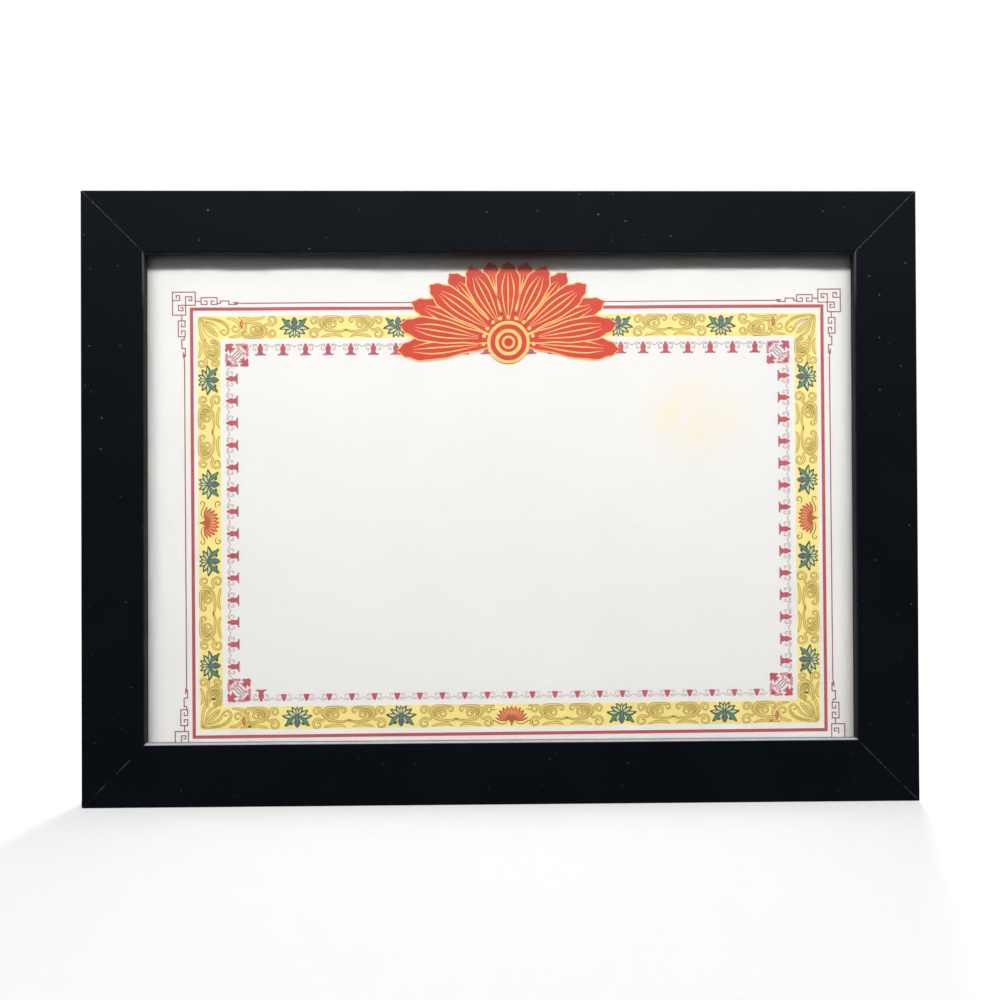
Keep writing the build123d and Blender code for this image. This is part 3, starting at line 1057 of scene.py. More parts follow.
def chain_link(pitch: float, plinth: bool = True) -> list[Stroke]:
    """Draws one red finial of the inner chain, its curls, and its half of the thread to each neighbour.

    Args:
        pitch: The distance from one finial to the next, in millimetres.
        plinth: Whether the finial stands on its wide foot, or is the plain bud of the lower row.

    Returns:
        The strokes.
    """
    body = (
        (0.0, 2.4, 0.12), (0.0, 1.95, 0.5), (0.0, 1.45, 0.42), (0.0, 0.75, 0.95), (0.0, -0.1, 0.98),
        (0.0, -0.9, 0.72), (0.0, -1.8, 1.2)
    )
    base = ((-1.5, -2.1, 0.1), (-0.8, -1.95, 0.32), (0.0, -1.95, 0.36), (0.8, -1.95, 0.32), (1.5, -2.1, 0.1))
    bud = (
        (0.0, 2.3, 0.24), (0.0, 1.6, 0.5), (0.0, 0.9, 0.74), (0.0, 0.3, 0.92), (0.0, -0.2, 1.22),
        (0.0, -0.5, 1.0)
    )
    foot = ((1.1, -2.2, 0.24), (1.8, -2.25, 0.3), (2.2, -1.85, 0.2))
    line = CHAIN_THREAD if plinth else CHAIN_THREAD_FOOT
    curl = (
        (0.9, 1.2, 0.8 * line), (1.8, 1.6, line), (2.7, 1.2, line), (2.9, 0.3, line), (2.4, -0.4, line),
        (1.9, 0.0, 0.9 * line), (2.2, 0.5, 0.7 * line)
    )
    thread = ((1.2, 1.9, 0.7 * line), (2.6, 2.1, line), (0.38 * pitch, 1.6, line), (0.5 * pitch, 1.0, line))
    half = [Stroke(Ink.THREAD, curl), Stroke(Ink.THREAD, thread)]
    if not plinth:
        return both_sides(half) + cased(bud, Ink.CURL, Ink.CHAIN, CHAIN_OUTLINE, 2)
    half.append(Stroke(Ink.CURL, foot))
    strokes = both_sides(half) + cased(base, Ink.CURL, Ink.CHAIN, CHAIN_OUTLINE, 2)
    return strokes + cased(body, Ink.CURL, Ink.CHAIN, CHAIN_OUTLINE, 4)


def lace_square() -> list[Stroke]:
    """Draws the red lace square at a corner of the chain.

    Returns:
        The strokes, with the square's outer corner at the lower left.
    """
    knot = ((-4.5, -4.5, 0.4), (-3.8, -3.8, 0.75), (-3.0, -3.0, 0.95), (-2.2, -2.2, 0.45), (-1.6, -1.6, 0.08))
    facing = ((1.5, 1.5, 0.08), (2.3, 2.3, 0.5), (3.1, 3.1, 1.05), (3.8, 3.8, 0.95), (4.5, 4.5, 0.45))
    sprigs = (
        ((-4.3, -3.3), (-4.2, -1.2), 0.42, 0.05),
        ((-3.1, -2.0), (-2.8, -0.6), 0.26, -0.2),
        ((-4.5, 4.5), (-2.5, 2.5), 0.26, 0.0),
        ((-4.5, 3.6), (-3.3, 1.7), 0.24, 0.15),
        ((3.3, 4.3), (1.2, 4.2), 0.42, 0.05),
        ((2.0, 3.1), (0.6, 2.8), 0.26, 0.2),
        ((-3.6, 4.5), (-1.7, 3.3), 0.24, -0.15),
    )
    loops = (
        (-4.2, 0.0), (-4.2, 1.2), (-2.8, 0.6), (-4.3, 2.4), (-2.4, 4.3), (-1.2, 4.2), (0.0, 4.2), (-0.6, 2.8)
    )
    half = [ring(Ink.CHAIN, LACE_LOOP, LACE_LOOP_LINE, 5, spot) for spot in loops]
    for base, tip, width, bend in sprigs:
        half += cased(leaf(base, tip, width, bend), Ink.CURL, Ink.CHAIN, LACE_OUTLINE)
    for off in (-0.4, 0.4):
        nib = ((0.9 + off, off - 0.9, 0.1), (0.8 + 2.2 * off, 2.2 * off - 0.8, 0.14))
        half.append(Stroke(Ink.CHAIN, nib))
    strokes = both_ways(half)
    for band in (knot, facing):
        strokes += cased(band, Ink.CURL, Ink.CHAIN, CHAIN_OUTLINE, 3)
    for bend in (-LACE_LENS_BOW, 0.0, LACE_LENS_BOW):
        strokes.append(Stroke(Ink.CURL, leaf((-2.4, 2.4), (2.4, -2.4), LACE_LENS, bend)))
    return strokes


@dataclass(frozen=True)
class Palmette:
    """The red and gold palmette that crowns the border: a wide fan of petals round a boss.

    A petal's swell is (share of its length, share of its width) pairs, and its veins are (share of its
    length, share of its width that they bow, half-width) triples. The rings of the boss are (radius,
    half-width) pairs. Lengths are in millimetres and the spread is in degrees.
    """

    reach: Spot = (46.0, 33.5)
    petals: int = 15
    spread: float = 188.0
    width: float = 4.7
    outline: float = 0.5
    swell: tuple[Spot, ...] = ((0.10, 0.2), (0.34, 0.55), (0.62, 0.96), (0.80, 1.0), (0.93, 0.6), (1.0, 0.06))
    veins: tuple[Point, ...] = ((0.28, 0.1, 0.08), (0.5, 0.42, 0.24), (0.7, 0.5, 0.26), (0.86, 0.22, 0.06))
    boss: float = 4.4
    boss_rings: tuple[Spot, ...] = ((6.5, 1.0), (3.4, 0.65), (0.9, 0.9))
    beads: int = 11
    bead: float = 0.4
    bead_circle: float = 10.4
    low_level: int = 12
    high_level: int = 15

    def turns(self, count: int) -> list[float]:
        """Returns that many angles over the fan's spread, from upright and in radians."""
        return [math.radians(self.spread * (k / (count - 1) - 0.5)) for k in range(count)]

    def fan(self) -> list[Stroke]:
        """Draws the petals, every second one lying over its neighbours.

        Returns:
            The strokes.
        """
        strokes = []
        for k, turn in enumerate(self.turns(self.petals)):
            across, up = math.sin(turn), math.cos(turn)
            length = 1.0 / math.hypot(across / self.reach[0], up / self.reach[1])
            level = self.high_level if k % 2 else self.low_level
            points = [(s * length * across, s * length * up, w * self.width) for s, w in self.swell]
            strokes += cased(points, Ink.GILT, Ink.CREST, self.outline, level)
            for side in (-1.0, 0.0, 1.0):
                strokes.append(Stroke(Ink.GILT, self.vein(turn, length, side), level + 2))
        return strokes

    def vein(self, turn: float, length: float, side: float) -> tuple[Point, ...]:
        """Draws a vein of a petal.

        Args:
            turn: The petal's angle from upright, in radians.
            length: The petal's length in millimetres.
            side: -1 or 1 for the veins that bow to the sides, and 0 for the middle one.

        Returns:
            The vein's points.
        """
        across, up = math.sin(turn), math.cos(turn)
        points = []
        for share, bow, width in self.veins:
            off = side * bow * self.width
            out = share * length
            points.append((out * across + off * up, out * up - off * across, width))
        return tuple(points)

    def strokes(self) -> list[Stroke]:
        """Draws the fan, the boss that it springs from and the beads round it.

        Returns:
            The strokes.
        """
        top = self.high_level + 3
        boss = [ring(Ink.GILT, self.boss, self.boss, top)]
        boss += [ring(Ink.CREST, radius, width, top + 1) for radius, width in self.boss_rings]
        for turn in self.turns(self.beads):
            spot = (self.bead_circle * math.sin(turn), self.bead_circle * math.cos(turn))
            boss.append(ring(Ink.GILT, self.bead, self.bead, top, spot))
        return self.fan() + boss


@dataclass(frozen=True)
class PaperWave:
    """The slight wave along the sheet's free top edge: it leans towards the glass but for a few dips.

    The heights are over the frame's centre and the dips are (place, half-length) pairs, all in millimetres.
    The middle, where the crest is printed, lies flat.
    """

    start: float = 60.0
    full: float = 93.5
    rise: float = 0.44
    dips: tuple[Spot, ...] = ((-146.0, 16.0), (-104.0, 13.0), (138.0, 10.0))
    flat: Span = (54.0, 66.0)

    def at(self, x: float, z: float) -> float:
        """Works out the lean at a place.

        Args:
            x: The place along the frame, in millimetres from its middle.
            z: The height over the frame's centre, in millimetres.

        Returns:
            How far the sheet leans forward, in millimetres.
        """
        share = min(max((z - self.start) / (self.full - self.start), 0.0), 1.0)
        dip = min(1.0, sum(math.exp(-(((x - place) / half) ** 2)) for place, half in self.dips))
        apart = min(max((abs(x) - self.flat[0]) / (self.flat[1] - self.flat[0]), 0.0), 1.0)
        return self.rise * share * share * (3 - 2 * share) * (1 - dip) * apart


def linked(name: str, data: bpy.types.ID) -> bpy.types.Object:
    """Makes an object of that data and puts it in the scene.

    Args:
        name: The object's name.
        data: Its mesh, light or camera.

    Returns:
        The new object.
    """
    made = bpy.data.objects.new(name, data)
    bpy.context.scene.collection.objects.link(made)
    return made


def meshed(name: str, shape: bmesh.types.BMesh, materials: Iterable[bpy.types.Material]) -> bpy.types.Object:
    """Makes an object of a finished bmesh.

    Args:
        name: The object's name.
        shape: Its bmesh, in place, which is freed.
        materials: Its materials, in the order that its faces number them.

    Returns:
        The new object.
    """
    mesh = bpy.data.meshes.new(name)
    shape.to_mesh(mesh)
    shape.free()
    for material in materials:
        mesh.materials.append(material)
    return linked(name, mesh)


def new_verts(made: dict) -> list[bmesh.types.BMVert]:
    """Picks the vertices out of what an extrusion made."""
    return [item for item in made["geom"] if isinstance(item, bmesh.types.BMVert)]


def faces_of(verts: Iterable[bmesh.types.BMVert]) -> list[bmesh.types.BMFace]:
    """Lists the faces that meet at those vertices, each one once."""
    return list({face for vert in verts for face in vert.link_faces})


def frame_centre() -> float:
    """Returns the height of the middle between the rails' outer edges."""
    return (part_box("top_rail")[1].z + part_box("bottom_rail")[0].z) / 2


def dress_nodes(names: Iterable[str], finish: Finish) -> None:
    """Gives CAD nodes a finish in their own material slots.

    Args:
        names: The nodes' names.
        finish: The finish.
    """
    for name in names:
        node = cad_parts[name]
        if not node.material_slots:
            node.data.materials.append(None)
        for held in node.material_slots:
            held.material = finish.material()
        LOG.info("%s: %s", name, finish.name)


@dataclass
class Sheet:
    """The printed sheet: the paper and its border, crest and chain.

    The print's centre is over the frame's centre, and its half-sizes are those of the lines' middles, in
    millimetres. The fret's lines are lists of corner points from its outer corner, each leg square to the
    last, and its head is the red arrowhead that it ends in.
    """

    node: str = "certificate_sheet"
    slot: str = "paper"
    segments: tuple[int, int] = (150, 140)
    sharp_edge: float = 40.0
    centre: Spot = (3.3, -9.5)
    tilt: float = 0.23
    shrink: float = 0.995
    layer: float = 0.015
    ink_thickness: float = 0.006
    first_layer: float = 0.02
    layers_apart: float = 100.0
    stroke_steps: int = 5
    merge_distance: float = 0.0005
    longest_edge: float = 20.0
    edge_cuts: int = 48
    thick_rule: Spot = (130.4, 87.95)
    thick_width: float = 1.35
    thin_rule: Spot = (133.4, 90.3)
    thin_width: float = 0.48
    fret_corner: Spot = (138.15, 94.95)
    fret_length: float = 27.7
    fret_block: float = 9.4
    fret_waist: float = 5.4
    fret_head: tuple[Point, ...] = ((24.6, 4.2, 0.16), (26.2, 4.5, 0.42), (28.2, 4.65, 0.12))
    band: Spot = (123.4, 80.4)
    band_width: float = 9.4
    lotus_along: tuple[float, ...] = (-88.2, -45.5, 45.5, 88.2)
    lotus_up: tuple[float, ...] = (-58.7, -15.8, 15.8, 58.7)
    panel_along: tuple[float, ...] = (-66.9, 66.9)
    panel_foot: tuple[float, ...] = (-66.9, -22.8, 22.8, 66.9)
    panel_up: tuple[float, ...] = (-37.3, 37.3)
    corner_arms: Spot = (28.0, 16.4)
    chain: Spot = (114.1, 71.2)
    chain_reach: Spot = (102.3, 59.2)
    chain_count: tuple[int, int] = (23, 14)
    chain_foot_shift: float = -0.6
    lace: Spot = (111.9, 68.9)
    crest_centre: float = 73.6
    patch: Spot = (80.0, 33.0)
    wave: PaperWave = field(default_factory=PaperWave)

    def __post_init__(self) -> None:
        """Takes the sheet's box and the frame's centre from the CAD model."""
        self.low, self.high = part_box(self.node)
        self.middle = frame_centre()

    def piece(
        self, name: str, shape: bmesh.types.BMesh, materials: Sequence[bpy.types.Material]
    ) -> bpy.types.Object:
        """Makes a piece of the sheet, which moves with the frame.

        Args:
            name: The piece's name.
            shape: Its bmesh, in place, which is freed.
            materials: Its materials, in the order that its faces number them.

        Returns:
            The new object.
        """
        made = meshed(name, shape, materials)
        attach(made, BODY)
        LOG.info("%s: %d faces", name, len(made.data.polygons))
        return made

    def bend(self, shape: bmesh.types.BMesh) -> None:
        """Leans a shape that lies on the flat sheet forward with the paper's wave.

        Args:
            shape: The shape, in its place.
        """
        for vert in shape.verts:
            vert.co.y -= MM * self.wave.at(vert.co.x / MM, (vert.co.z - self.middle) / MM)

    def build_paper(self) -> None:
        """Models the paper, with its wave and thickness, in place of the CAD model's plain sheet."""
        shape = bmesh.new()
        size, centre = self.high - self.low, (self.low + self.high) / 2
        bmesh.ops.create_grid(shape, x_segments=self.segments[0], y_segments=self.segments[1], size=0.5)
        spread = Matrix.Diagonal((size.x, size.z, 1.0, 1.0))
        upright = Matrix.Rotation(math.pi / 2, 4, "X")
        place = Matrix.Translation((centre.x, self.low.y, centre.z)) @ upright @ spread
        bmesh.ops.transform(shape, matrix=place, verts=shape.verts)
        self.bend(shape)
        rear = bmesh.ops.extrude_face_region(shape, geom=shape.faces[:])
        bmesh.ops.translate(shape, vec=(0.0, size.y, 0.0), verts=new_verts(rear))
        bmesh.ops.recalc_face_normals(shape, faces=shape.faces)
        patch = (self.patch[0] * MM, self.low.y, self.middle + self.patch[1] * MM)
        stock = PaperStock("certificate_paper_stock", patch)
        paper = self.piece("certificate_paper", shape, [stock.material()])
        paper.data.polygons.foreach_set("use_smooth", [True] * len(paper.data.polygons))
        paper.data.set_sharp_from_angle(angle=math.radians(self.sharp_edge))
        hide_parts(self.node)

    def build_print(self, name: str, shape: bmesh.types.BMesh, inks: Iterable[Ink]) -> None:
        """Lays a flat shape on the paper, with its long edges cut so that it can bend.

        Args:
            name: The piece's name.
            shape: The shape, in the print's axes.
            inks: Its inks, in the order that its faces number them.
        """
        stiff = [edge for edge in shape.edges if edge.calc_length() > self.longest_edge]
        bmesh.ops.subdivide_edges(shape, edges=stiff, cuts=self.edge_cuts, use_grid_fill=True)
        across, up = self.centre
        spot = Vector((across * MM, self.low.y - self.first_layer * MM, self.middle + up * MM))
        upright = Matrix.Rotation(math.pi / 2, 4, "X")
        askew = Matrix.Rotation(math.radians(-self.tilt), 4, "Y")
        place = Matrix.Translation(spot) @ askew @ upright @ Matrix.Scale(MM * self.shrink, 4)
        bmesh.ops.transform(shape, matrix=place, verts=shape.verts)
        self.bend(shape)
        bmesh.ops.recalc_face_normals(shape, faces=shape.faces)
        self.piece(name, shape, [ink.value.material() for ink in inks])

    def draw(self, curve: bpy.types.Curve, stroke: Stroke, ink: int) -> None:
        """Adds a stroke to a curve as one spline, high over the layers below it.

        Args:
            curve: The curve.
            stroke: The stroke, in the print's axes.
            ink: The number of its ink in the curve.
        """
        spline = curve.splines.new("BEZIER")
        spline.bezier_points.add(len(stroke.points) - 1)
        spline.use_cyclic_u = stroke.closed
        spline.radius_interpolation = "EASE"
        spline.use_smooth = False
        spline.material_index = ink
        for knot, (u, v, width) in zip(spline.bezier_points, stroke.points):
            knot.co = (u, v, self.layers_apart * stroke.level)
            knot.radius = width
            knot.tilt = math.pi / 4
        for knot in spline.bezier_points:
            knot.handle_left_type = "AUTO"
            knot.handle_right_type = "AUTO"

    def build_strokes(self, name: str, strokes: Sequence[Stroke]) -> None:
        """Makes one flat piece of many brush strokes.

        Each stroke is a curve with a square section, which is pressed flat on its own layer.

        Args:
            name: The piece's name.
            strokes: The strokes, in the print's axes.
        """
        inks = list(dict.fromkeys(stroke.ink for stroke in strokes))
        curve = bpy.data.curves.new(name, "CURVE")
        curve.dimensions = "3D"
        curve.twist_mode = "Z_UP"
        curve.bevel_depth = math.sqrt(2)
        curve.bevel_resolution = 0
        curve.use_fill_caps = True
        curve.resolution_u = self.stroke_steps
        for ink in inks:
            curve.materials.append(ink.value.material())
        for stroke in strokes:
            self.draw(curve, stroke, inks.index(stroke.ink))
        holder = bpy.data.objects.new(name, curve)
        drawn = bpy.data.meshes.new_from_object(holder)
        shape = bmesh.new()
        shape.from_mesh(drawn)
        bpy.data.objects.remove(holder)
        bpy.data.curves.remove(curve)
        bpy.data.meshes.remove(drawn)
        bmesh.ops.remove_doubles(shape, verts=shape.verts, dist=self.merge_distance)
        for vert in shape.verts:
            level = round(vert.co.z / self.layers_apart)
            face = math.copysign(self.ink_thickness / 2, vert.co.z - self.layers_apart * level)
            vert.co.z = self.layer * level + face
        self.build_print(name, shape, inks)

    def add_bar(self, shape: bmesh.types.BMesh, low: Spot, high: Spot) -> None:
        """Adds a thin straight bar to a flat shape.

        Args:
            shape: The shape that the bar joins.
            low: The bar's lower left corner in the print's axes.
            high: Its upper right corner.
        """
        size = (high[0] - low[0], high[1] - low[1], self.ink_thickness, 1.0)
        spot = Vector(((high[0] + low[0]) / 2, (high[1] + low[1]) / 2, 0.0))
        bmesh.ops.create_cube(shape, size=1.0, matrix=Matrix.Translation(spot) @ Matrix.Diagonal(size))

    def add_frame(self, shape: bmesh.types.BMesh, half: Spot, width: float, ink: int) -> None:
        """Adds a flat rectangular line round the print.

        Args:
            shape: The shape that the line joins.
            half: The half-sizes of its middle line.
            width: Its width.
            ink: The number of its ink in the piece.
        """
        outer = Matrix.Diagonal((2 * half[0] + width, 2 * half[1] + width, 1.0, 1.0))
        made = bmesh.ops.create_grid(shape, x_segments=1, y_segments=1, size=0.5, matrix=outer)
        faces = faces_of(made["verts"])
        rim = bmesh.ops.inset_individual(shape, faces=faces, thickness=width, use_even_offset=True)["faces"]
        bmesh.ops.delete(shape, geom=faces, context="FACES")
        raised = new_verts(bmesh.ops.extrude_face_region(shape, geom=rim))
        bmesh.ops.translate(shape, vec=(0.0, 0.0, self.ink_thickness), verts=raised)
        for face in faces_of(raised):
            face.material_index = ink

    def build_band(self) -> None:
        """Models the yellow band and the thick red line round it."""
        shape = bmesh.new()
        self.add_frame(shape, self.band, self.band_width, 0)
        self.add_frame(shape, self.thick_rule, self.thick_width, 1)
        self.build_print("print_band_and_rule", shape, (Ink.BAND, Ink.RULE))

    def fret_runs(self, foot: bool) -> list[list[Spot]]:
        """Draws a corner's fret as bent lines.

        Args:
            foot: Whether it is a corner at the foot, whose level arm the lip hides.

        Returns:
            Lists of corner points in millimetres.
        """
        block, waist = self.fret_block, self.fret_waist
        outline = [
            (waist, 1.9), (waist, block), (0.0, block), (0.0, 0.0), (block, 0.0), (block, waist), (2.5, waist)
        ]
        hooks = [
            [(waist, 1.9), (8.0, 1.9), (8.0, 3.5), (6.9, 3.5), (6.9, 2.9)],
            [(2.5, waist), (2.5, 7.6), (4.3, 7.6), (4.3, 6.4), (3.4, 6.4)],
            [(0.0, 3.4), (3.0, 3.4), (3.0, 1.4), (1.6, 1.4), (1.6, 2.4)],
        ]
        spiral = [
            (13.2, 3.7), (14.2, 3.7), (14.2, 5.1), (11.8, 5.1), (11.8, 2.3), (18.3, 2.3), (18.3, 5.1),
            (15.9, 5.1), (15.9, 3.7), (17.0, 3.7)
        ]
        steps = [(18.3, 4.7), (19.6, 4.7), (19.6, 3.7), (23.1, 3.7), (23.1, 5.1), (26.4, 5.1)]
        arm = [[(block, 3.8), (11.8, 3.8)], spiral, steps]
        upright = [[(y, x) for x, y in run] for run in arm]
        return [outline[:4], hooks[1], *upright] if foot else [outline, *hooks, *arm, *upright]

    def add_run(self, shape: bmesh.types.BMesh, run: list[Spot], place: Place) -> None:
        """Adds a bent line of the fret as bars that meet at its bends.

        Args:
            shape: The mesh that takes the bars.
            run: The line's corner points in millimetres.
            place: Where the line lies on the sheet.
        """
        points = [Vector(place.point(x, y)) for x, y in run]
        for start, end in zip(points, points[1:]):
            way = self.thin_width / 2 * (end - start).normalized()
            side = way.orthogonal()
            tip = end + way if end is points[-1] else end - way
            corners = [spot + edge for spot in (start - way, tip) for edge in (side, -side)]
            low = tuple(min(corner[k] for corner in corners) for k in range(2))
            high = tuple(max(corner[k] for corner in corners) for k in range(2))
            self.add_bar(shape, low, high)

    def build_frets(self) -> None:
        """Models the thin outer line, the frets that it ends in at the corners and their red arrowheads."""
        shape = bmesh.new()
        head = Stroke(Ink.RULE, self.fret_head)
        heads = []
        for place in corner_places(self.fret_corner):
            foot = place.v < 0.0
            heads += place.put([head.swapped()] if foot else [head, head.swapped()])
            for run in self.fret_runs(foot):
                self.add_run(shape, run, place)
        half = self.thin_width / 2
        across, up = self.thin_rule
        reach = (self.fret_corner[0] - self.fret_length, self.fret_corner[1] - self.fret_length)
        self.add_bar(shape, (-reach[0], up - half), (reach[0], up + half))
        for side in (-across, across):
            self.add_bar(shape, (side - half, -reach[1]), (side + half, reach[1]))
        self.build_print("print_frets", shape, [Ink.FRET])
        self.build_strokes("print_fret_ends", heads)

    def build_motifs(self) -> None:
        """Models the band's scrolls, lotuses and flowers."""
        side, top = self.band
        panels = [Place(u, top) for u in self.panel_along] + [Place(u, -top) for u in self.panel_foot]
        lotuses, flowers = [], [Place(0.0, -top)]
        for u in self.lotus_along:
            lotuses += [Place(u, top), Place(u, -top, 180.0)]
        for hand in (-1, 1):
            flowers.append(Place(hand * side, 0.0, hand * 90.0))
        for v in self.panel_up:
            panels += [Place(hand * side, v, hand * -90.0) for hand in (-1, 1)]
        for v in self.lotus_up:
            lotuses += [Place(hand * side, v, hand * 90.0) for hand in (-1, 1)]
        corners = repeated(scroll_corner(self.corner_arms), corner_places(self.band))
        self.build_strokes("print_scrolls", repeated(scroll_panel(), panels) + corners)
        self.build_strokes("print_lotuses", repeated(lotus(), lotuses))
        self.build_strokes("print_flowers", repeated(flower(), flowers))

    def build_chain(self) -> None:
        """Models the inner chain of red finials and its lace corners."""
        side, top = self.chain
        strokes = []
        along, up = [2 * reach / (count - 1) for reach, count in zip(self.chain_reach, self.chain_count)]
        for k in range(self.chain_count[0]):
            u = k * along - self.chain_reach[0]
            strokes += Place(u, top).put(chain_link(along))
            strokes += Place(u + self.chain_foot_shift, -top, 180.0).put(chain_link(along, plinth=k == 0))
        for k in range(self.chain_count[1]):
            v = k * up - self.chain_reach[1]
            strokes += repeated(chain_link(up), [Place(hand * side, v, hand * -90.0) for hand in (-1, 1)])
        self.build_strokes("print_chain", strokes)
        self.build_strokes("print_lace_corners", repeated(lace_square(), corner_places(self.lace)))

    def build(self) -> None:
        """Builds the paper and everything printed on it."""
        self.build_paper()
        self.build_band()
        self.build_frets()
        self.build_motifs()
        self.build_chain()
        self.build_strokes("print_crest", Place(0.0, self.crest_centre).put(Palmette().strokes()))


@dataclass
class Moulding:
    """The four mitred rails and the V-nails across their mitres."""

    rails: tuple[str, ...] = ("top_rail", "bottom_rail", "left_rail", "right_rail")
    corners: tuple[str, ...] = ("top_left", "top_right", "bottom_left", "bottom_right")

    def dress(self) -> None:
        """Gives the rails their film and the V-nails their steel."""
        top_low, top_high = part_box("top_rail")
        centre = frame_centre()
        outer = (top_high.x, top_high.z - centre)
        sight = (-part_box("left_rail")[1].x, top_low.z - centre)
        lip_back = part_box("glass_pane")[0].y
        film = MouldingFilm("moulding_black_film", centre, outer, sight, top_low.y, lip_back)
        dress_nodes(self.rails, film)
        steel = PlatedSteel("wedge_blue_steel", linear(120, 122, 128), linear(78, 78, 82), gloss=0.38)
        dress_nodes([f"corner_wedges_{corner}" for corner in self.corners], steel)


@dataclass
class Backing:
    """The glass in front of the sheet, and the card and board behind it."""

    glass: str = "glass_pane"
    card: str = "filler_card"
    board: str = "backing_board"

    def dress(self) -> None:
        """Gives the pane, the card and the board their finishes."""
        dress_nodes([self.glass], ClearGlass("pane_clear_glass"))
        dress_nodes([self.card], KraftCard("filler_kraft_card"))
        dress_nodes([self.board], Hardboard("board_brown_hardboard"))


@dataclass
class Hardware:
    """The turn buttons, their screws, the hanger, its nails and the wall pads."""

    buttons: tuple[str, ...] = ("top_left", "top_right", "bottom_left", "bottom_right", "left", "right")
    fixings: tuple[str, ...] = ("turn_button_screws", "hanger_nails")
    hanger: str = "sawtooth_hanger"
    pads: tuple[str, ...] = ("wall_bumper_left", "wall_bumper_right")

    def dress(self) -> None:
        """Gives the hardware its plating and the pads their rubber."""
        zinc = PlatedSteel("hardware_zinc_plate", linear(164, 168, 174), linear(122, 126, 132), gloss=0.26)
        dress_nodes([*(f"turn_button_{button}" for button in self.buttons), self.hanger], zinc)
        bright = PlatedSteel("fixings_bright_zinc", linear(182, 184, 186), linear(138, 140, 144), gloss=0.22,
                             patch_scale=300.0)
        dress_nodes(self.fixings, bright)
        dress_nodes(self.pads, PadRubber("pads_black_rubber"))


@dataclass(frozen=True)
class StudioFloor(Finish):
    """A white floor that keeps the object's shadow near it and is plain white further off.

    Only the eye, and what mirrors the background, sees it white: towards the object it gives back little
    light.
    """

    near: float = 0.35
    far: float = 0.75
    glow: float = 0.3
    shaded: Colour = (0.72, 0.72, 0.72, 1.0)
    dim: Colour = (0.06, 0.06, 0.06, 1.0)

    def dress(self, surface: Surface) -> None:
        """Mixes the lit floor, the white distance and the dim floor by the kind of ray.

        Args:
            surface: The material's tree.
        """
        distance = surface.vector("LENGTH", surface.where)["Value"]
        lit = surface.add("ShaderNodeBsdfDiffuse", {"Color": self.shaded}).outputs[0]
        dim = surface.add("ShaderNodeBsdfDiffuse", {"Color": self.dim}).outputs[0]
        glow = surface.add("ShaderNodeEmission", {"Strength": self.glow}).outputs[0]
        white = surface.add("ShaderNodeEmission", {"Strength": 1.0}).outputs[0]
        close = surface.add("ShaderNodeAddShader", {0: lit, 1: glow}).outputs[0]
        shown = surface.blended(surface.ranged(distance, self.near, self.far), close, white)
        viewed = surface.background_rays(surface.axes(surface.where))
        surface.shows(surface.blended(viewed, dim, shown))


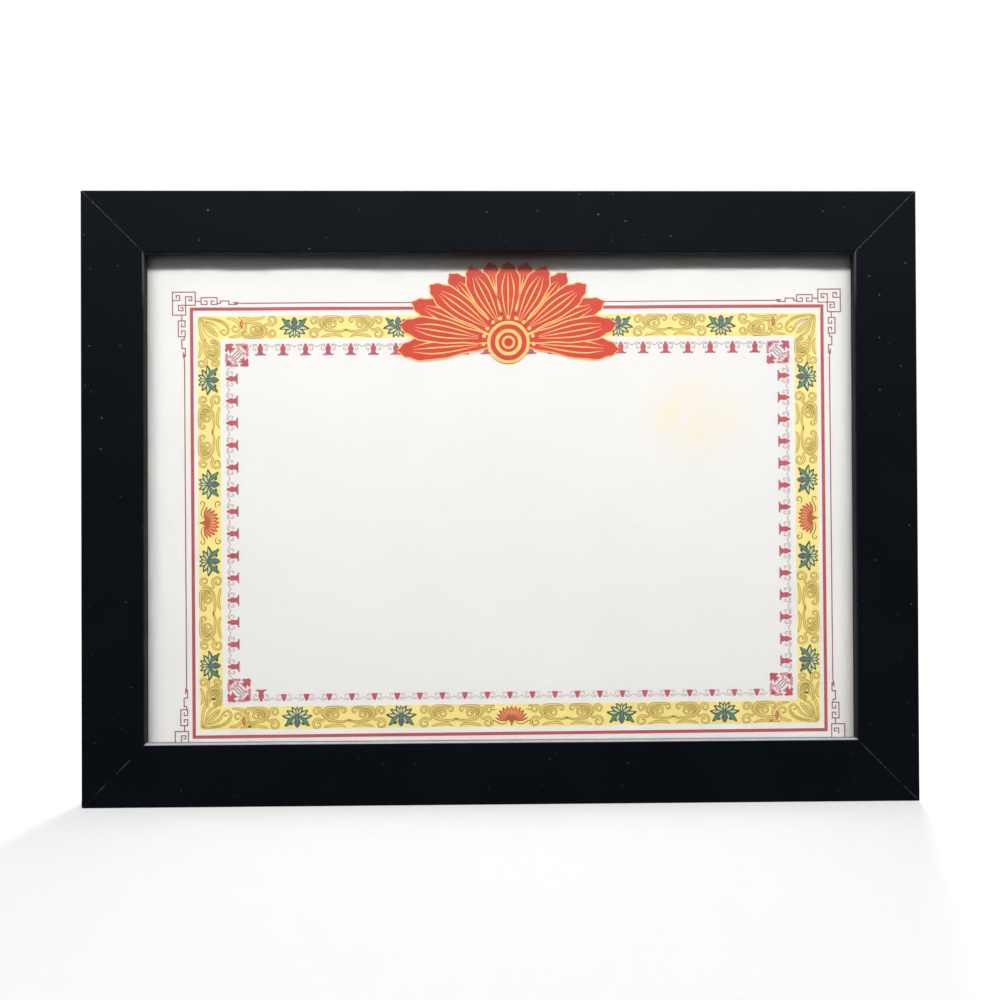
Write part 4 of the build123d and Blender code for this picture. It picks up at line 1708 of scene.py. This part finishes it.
@dataclass
class Studio:
    """The floor, the lamps, the room's soft light and the camera.

    The sky is (place, light) pairs from straight down to straight up. The eye is in millimetres from the
    middle of the frame's face, and its turn is in degrees.
    """

    floor_radius: float = 4.0
    floor_sides: int = 96
    key_distance: float = 1.2
    key_elevation: float = 45.0
    key_size: Span = (1.6, 0.11)
    key_power: float = 11.7
    rear_place: Point = (0.35, 1.15, 1.05)
    rear_size: Span = (0.7, 0.7)
    rear_power: float = 26.0
    sky: tuple[Spot, ...] = ((0.0, 0.03), (0.5, 0.06), (0.6, 0.17), (0.72, 0.42), (0.85, 0.54), (1.0, 0.22))
    white: Colour = (1.0, 1.0, 1.0, 1.0)
    eye: Point = (-4.99, -322.62, -2.79)
    turn: Point = (90.283, 0.250, -0.733)
    lens: float = 28.8
    sensor: float = 36.0
    nearest: float = 0.01

    def __post_init__(self) -> None:
        """Takes the middle of the frame's face and the floor's height from the CAD model."""
        low, high = CAD_BOX
        self.face = Vector((0.0, low.y, (low.z + high.z) / 2))
        self.ground = low.z

    def build_floor(self) -> None:
        """Models the round floor that the frame stands on."""
        shape = bmesh.new()
        place = Matrix.Translation((0, 0, self.ground))
        bmesh.ops.create_circle(
            shape, cap_ends=True, segments=self.floor_sides, radius=self.floor_radius, matrix=place
        )
        meshed("studio_floor", shape, [StudioFloor("studio_floor_white").material()])

    def add_lamp(self, name: str, place: Vector, size: Span, power: float) -> None:
        """Adds a soft lamp that faces the frame.

        Args:
            name: The lamp's name.
            place: Where it hangs.
            size: Its width and height.
            power: Its power in watts.
        """
        light = bpy.data.lights.new(name, "AREA")
        light.shape = "RECTANGLE"
        light.size, light.size_y = size
        light.energy = power
        lamp = linked(name, light)
        lamp.location = place
        lamp.rotation_euler = (self.face - place).to_track_quat("-Z", "Y").to_euler()

    def build_lamps(self) -> None:
        """Hangs the key lamp above and in front, and a soft one behind for the back."""
        rise = math.radians(self.key_elevation)
        key = self.face + self.key_distance * Vector((0.0, -math.cos(rise), math.sin(rise)))
        self.add_lamp("key_lamp", key, self.key_size, self.key_power)
        self.add_lamp("rear_lamp", self.face + Vector(self.rear_place), self.rear_size, self.rear_power)

    def build_world(self) -> None:
        """Makes the room: white to the eye, and a soft light that grows from the horizon to the ceiling."""
        world = bpy.data.worlds.new("studio_room")
        bpy.context.scene.world = world
        world.use_nodes = True
        bench = Bench(world.node_tree)
        axes = bench.axes(bench.add("ShaderNodeTexCoord").outputs["Generated"])
        ramp = bench.add("ShaderNodeValToRGB", {0: bench.ranged(axes["Z"], -1.0, 1.0)})
        steps = ramp.color_ramp.elements
        for place, _ in self.sky[1:-1]:
            steps.new(place)
        for step, (place, level) in zip(steps, self.sky):
            step.position = place
            step.color = (level, level, level, 1.0)
        soft = bench.add("ShaderNodeBackground", {"Color": ramp.outputs[0]}).outputs[0]
        white = bench.add("ShaderNodeBackground", {"Color": self.white}).outputs[0]
        mix = bench.blended(bench.background_rays(axes), soft, white)
        bench.feed(world.node_tree.nodes["World Output"].inputs["Surface"], mix)

    def build_camera(self) -> None:
        """Sets the camera where the photograph was taken from."""
        data = bpy.data.cameras.new("camera")
        data.lens = self.lens
        data.sensor_width = self.sensor
        data.clip_start = self.nearest
        camera = linked("camera", data)
        camera.location = self.face + MM * Vector(self.eye)
        camera.rotation_euler = Euler([math.radians(angle) for angle in self.turn], "XYZ")
        bpy.context.scene.camera = camera

    def build(self) -> None:
        """Builds the studio round the frame."""
        self.build_floor()
        self.build_lamps()
        self.build_world()
        self.build_camera()
        bpy.context.scene.view_settings.view_transform = "Standard"


def main() -> None:
    """Builds the sheet, dresses the frame and sets up the studio."""
    logging.basicConfig(level=logging.INFO, format="%(name)s %(message)s")
    Sheet().build()
    Moulding().dress()
    Backing().dress()
    Hardware().dress()
    Studio().build()


if __name__ == "__main__":
    main()
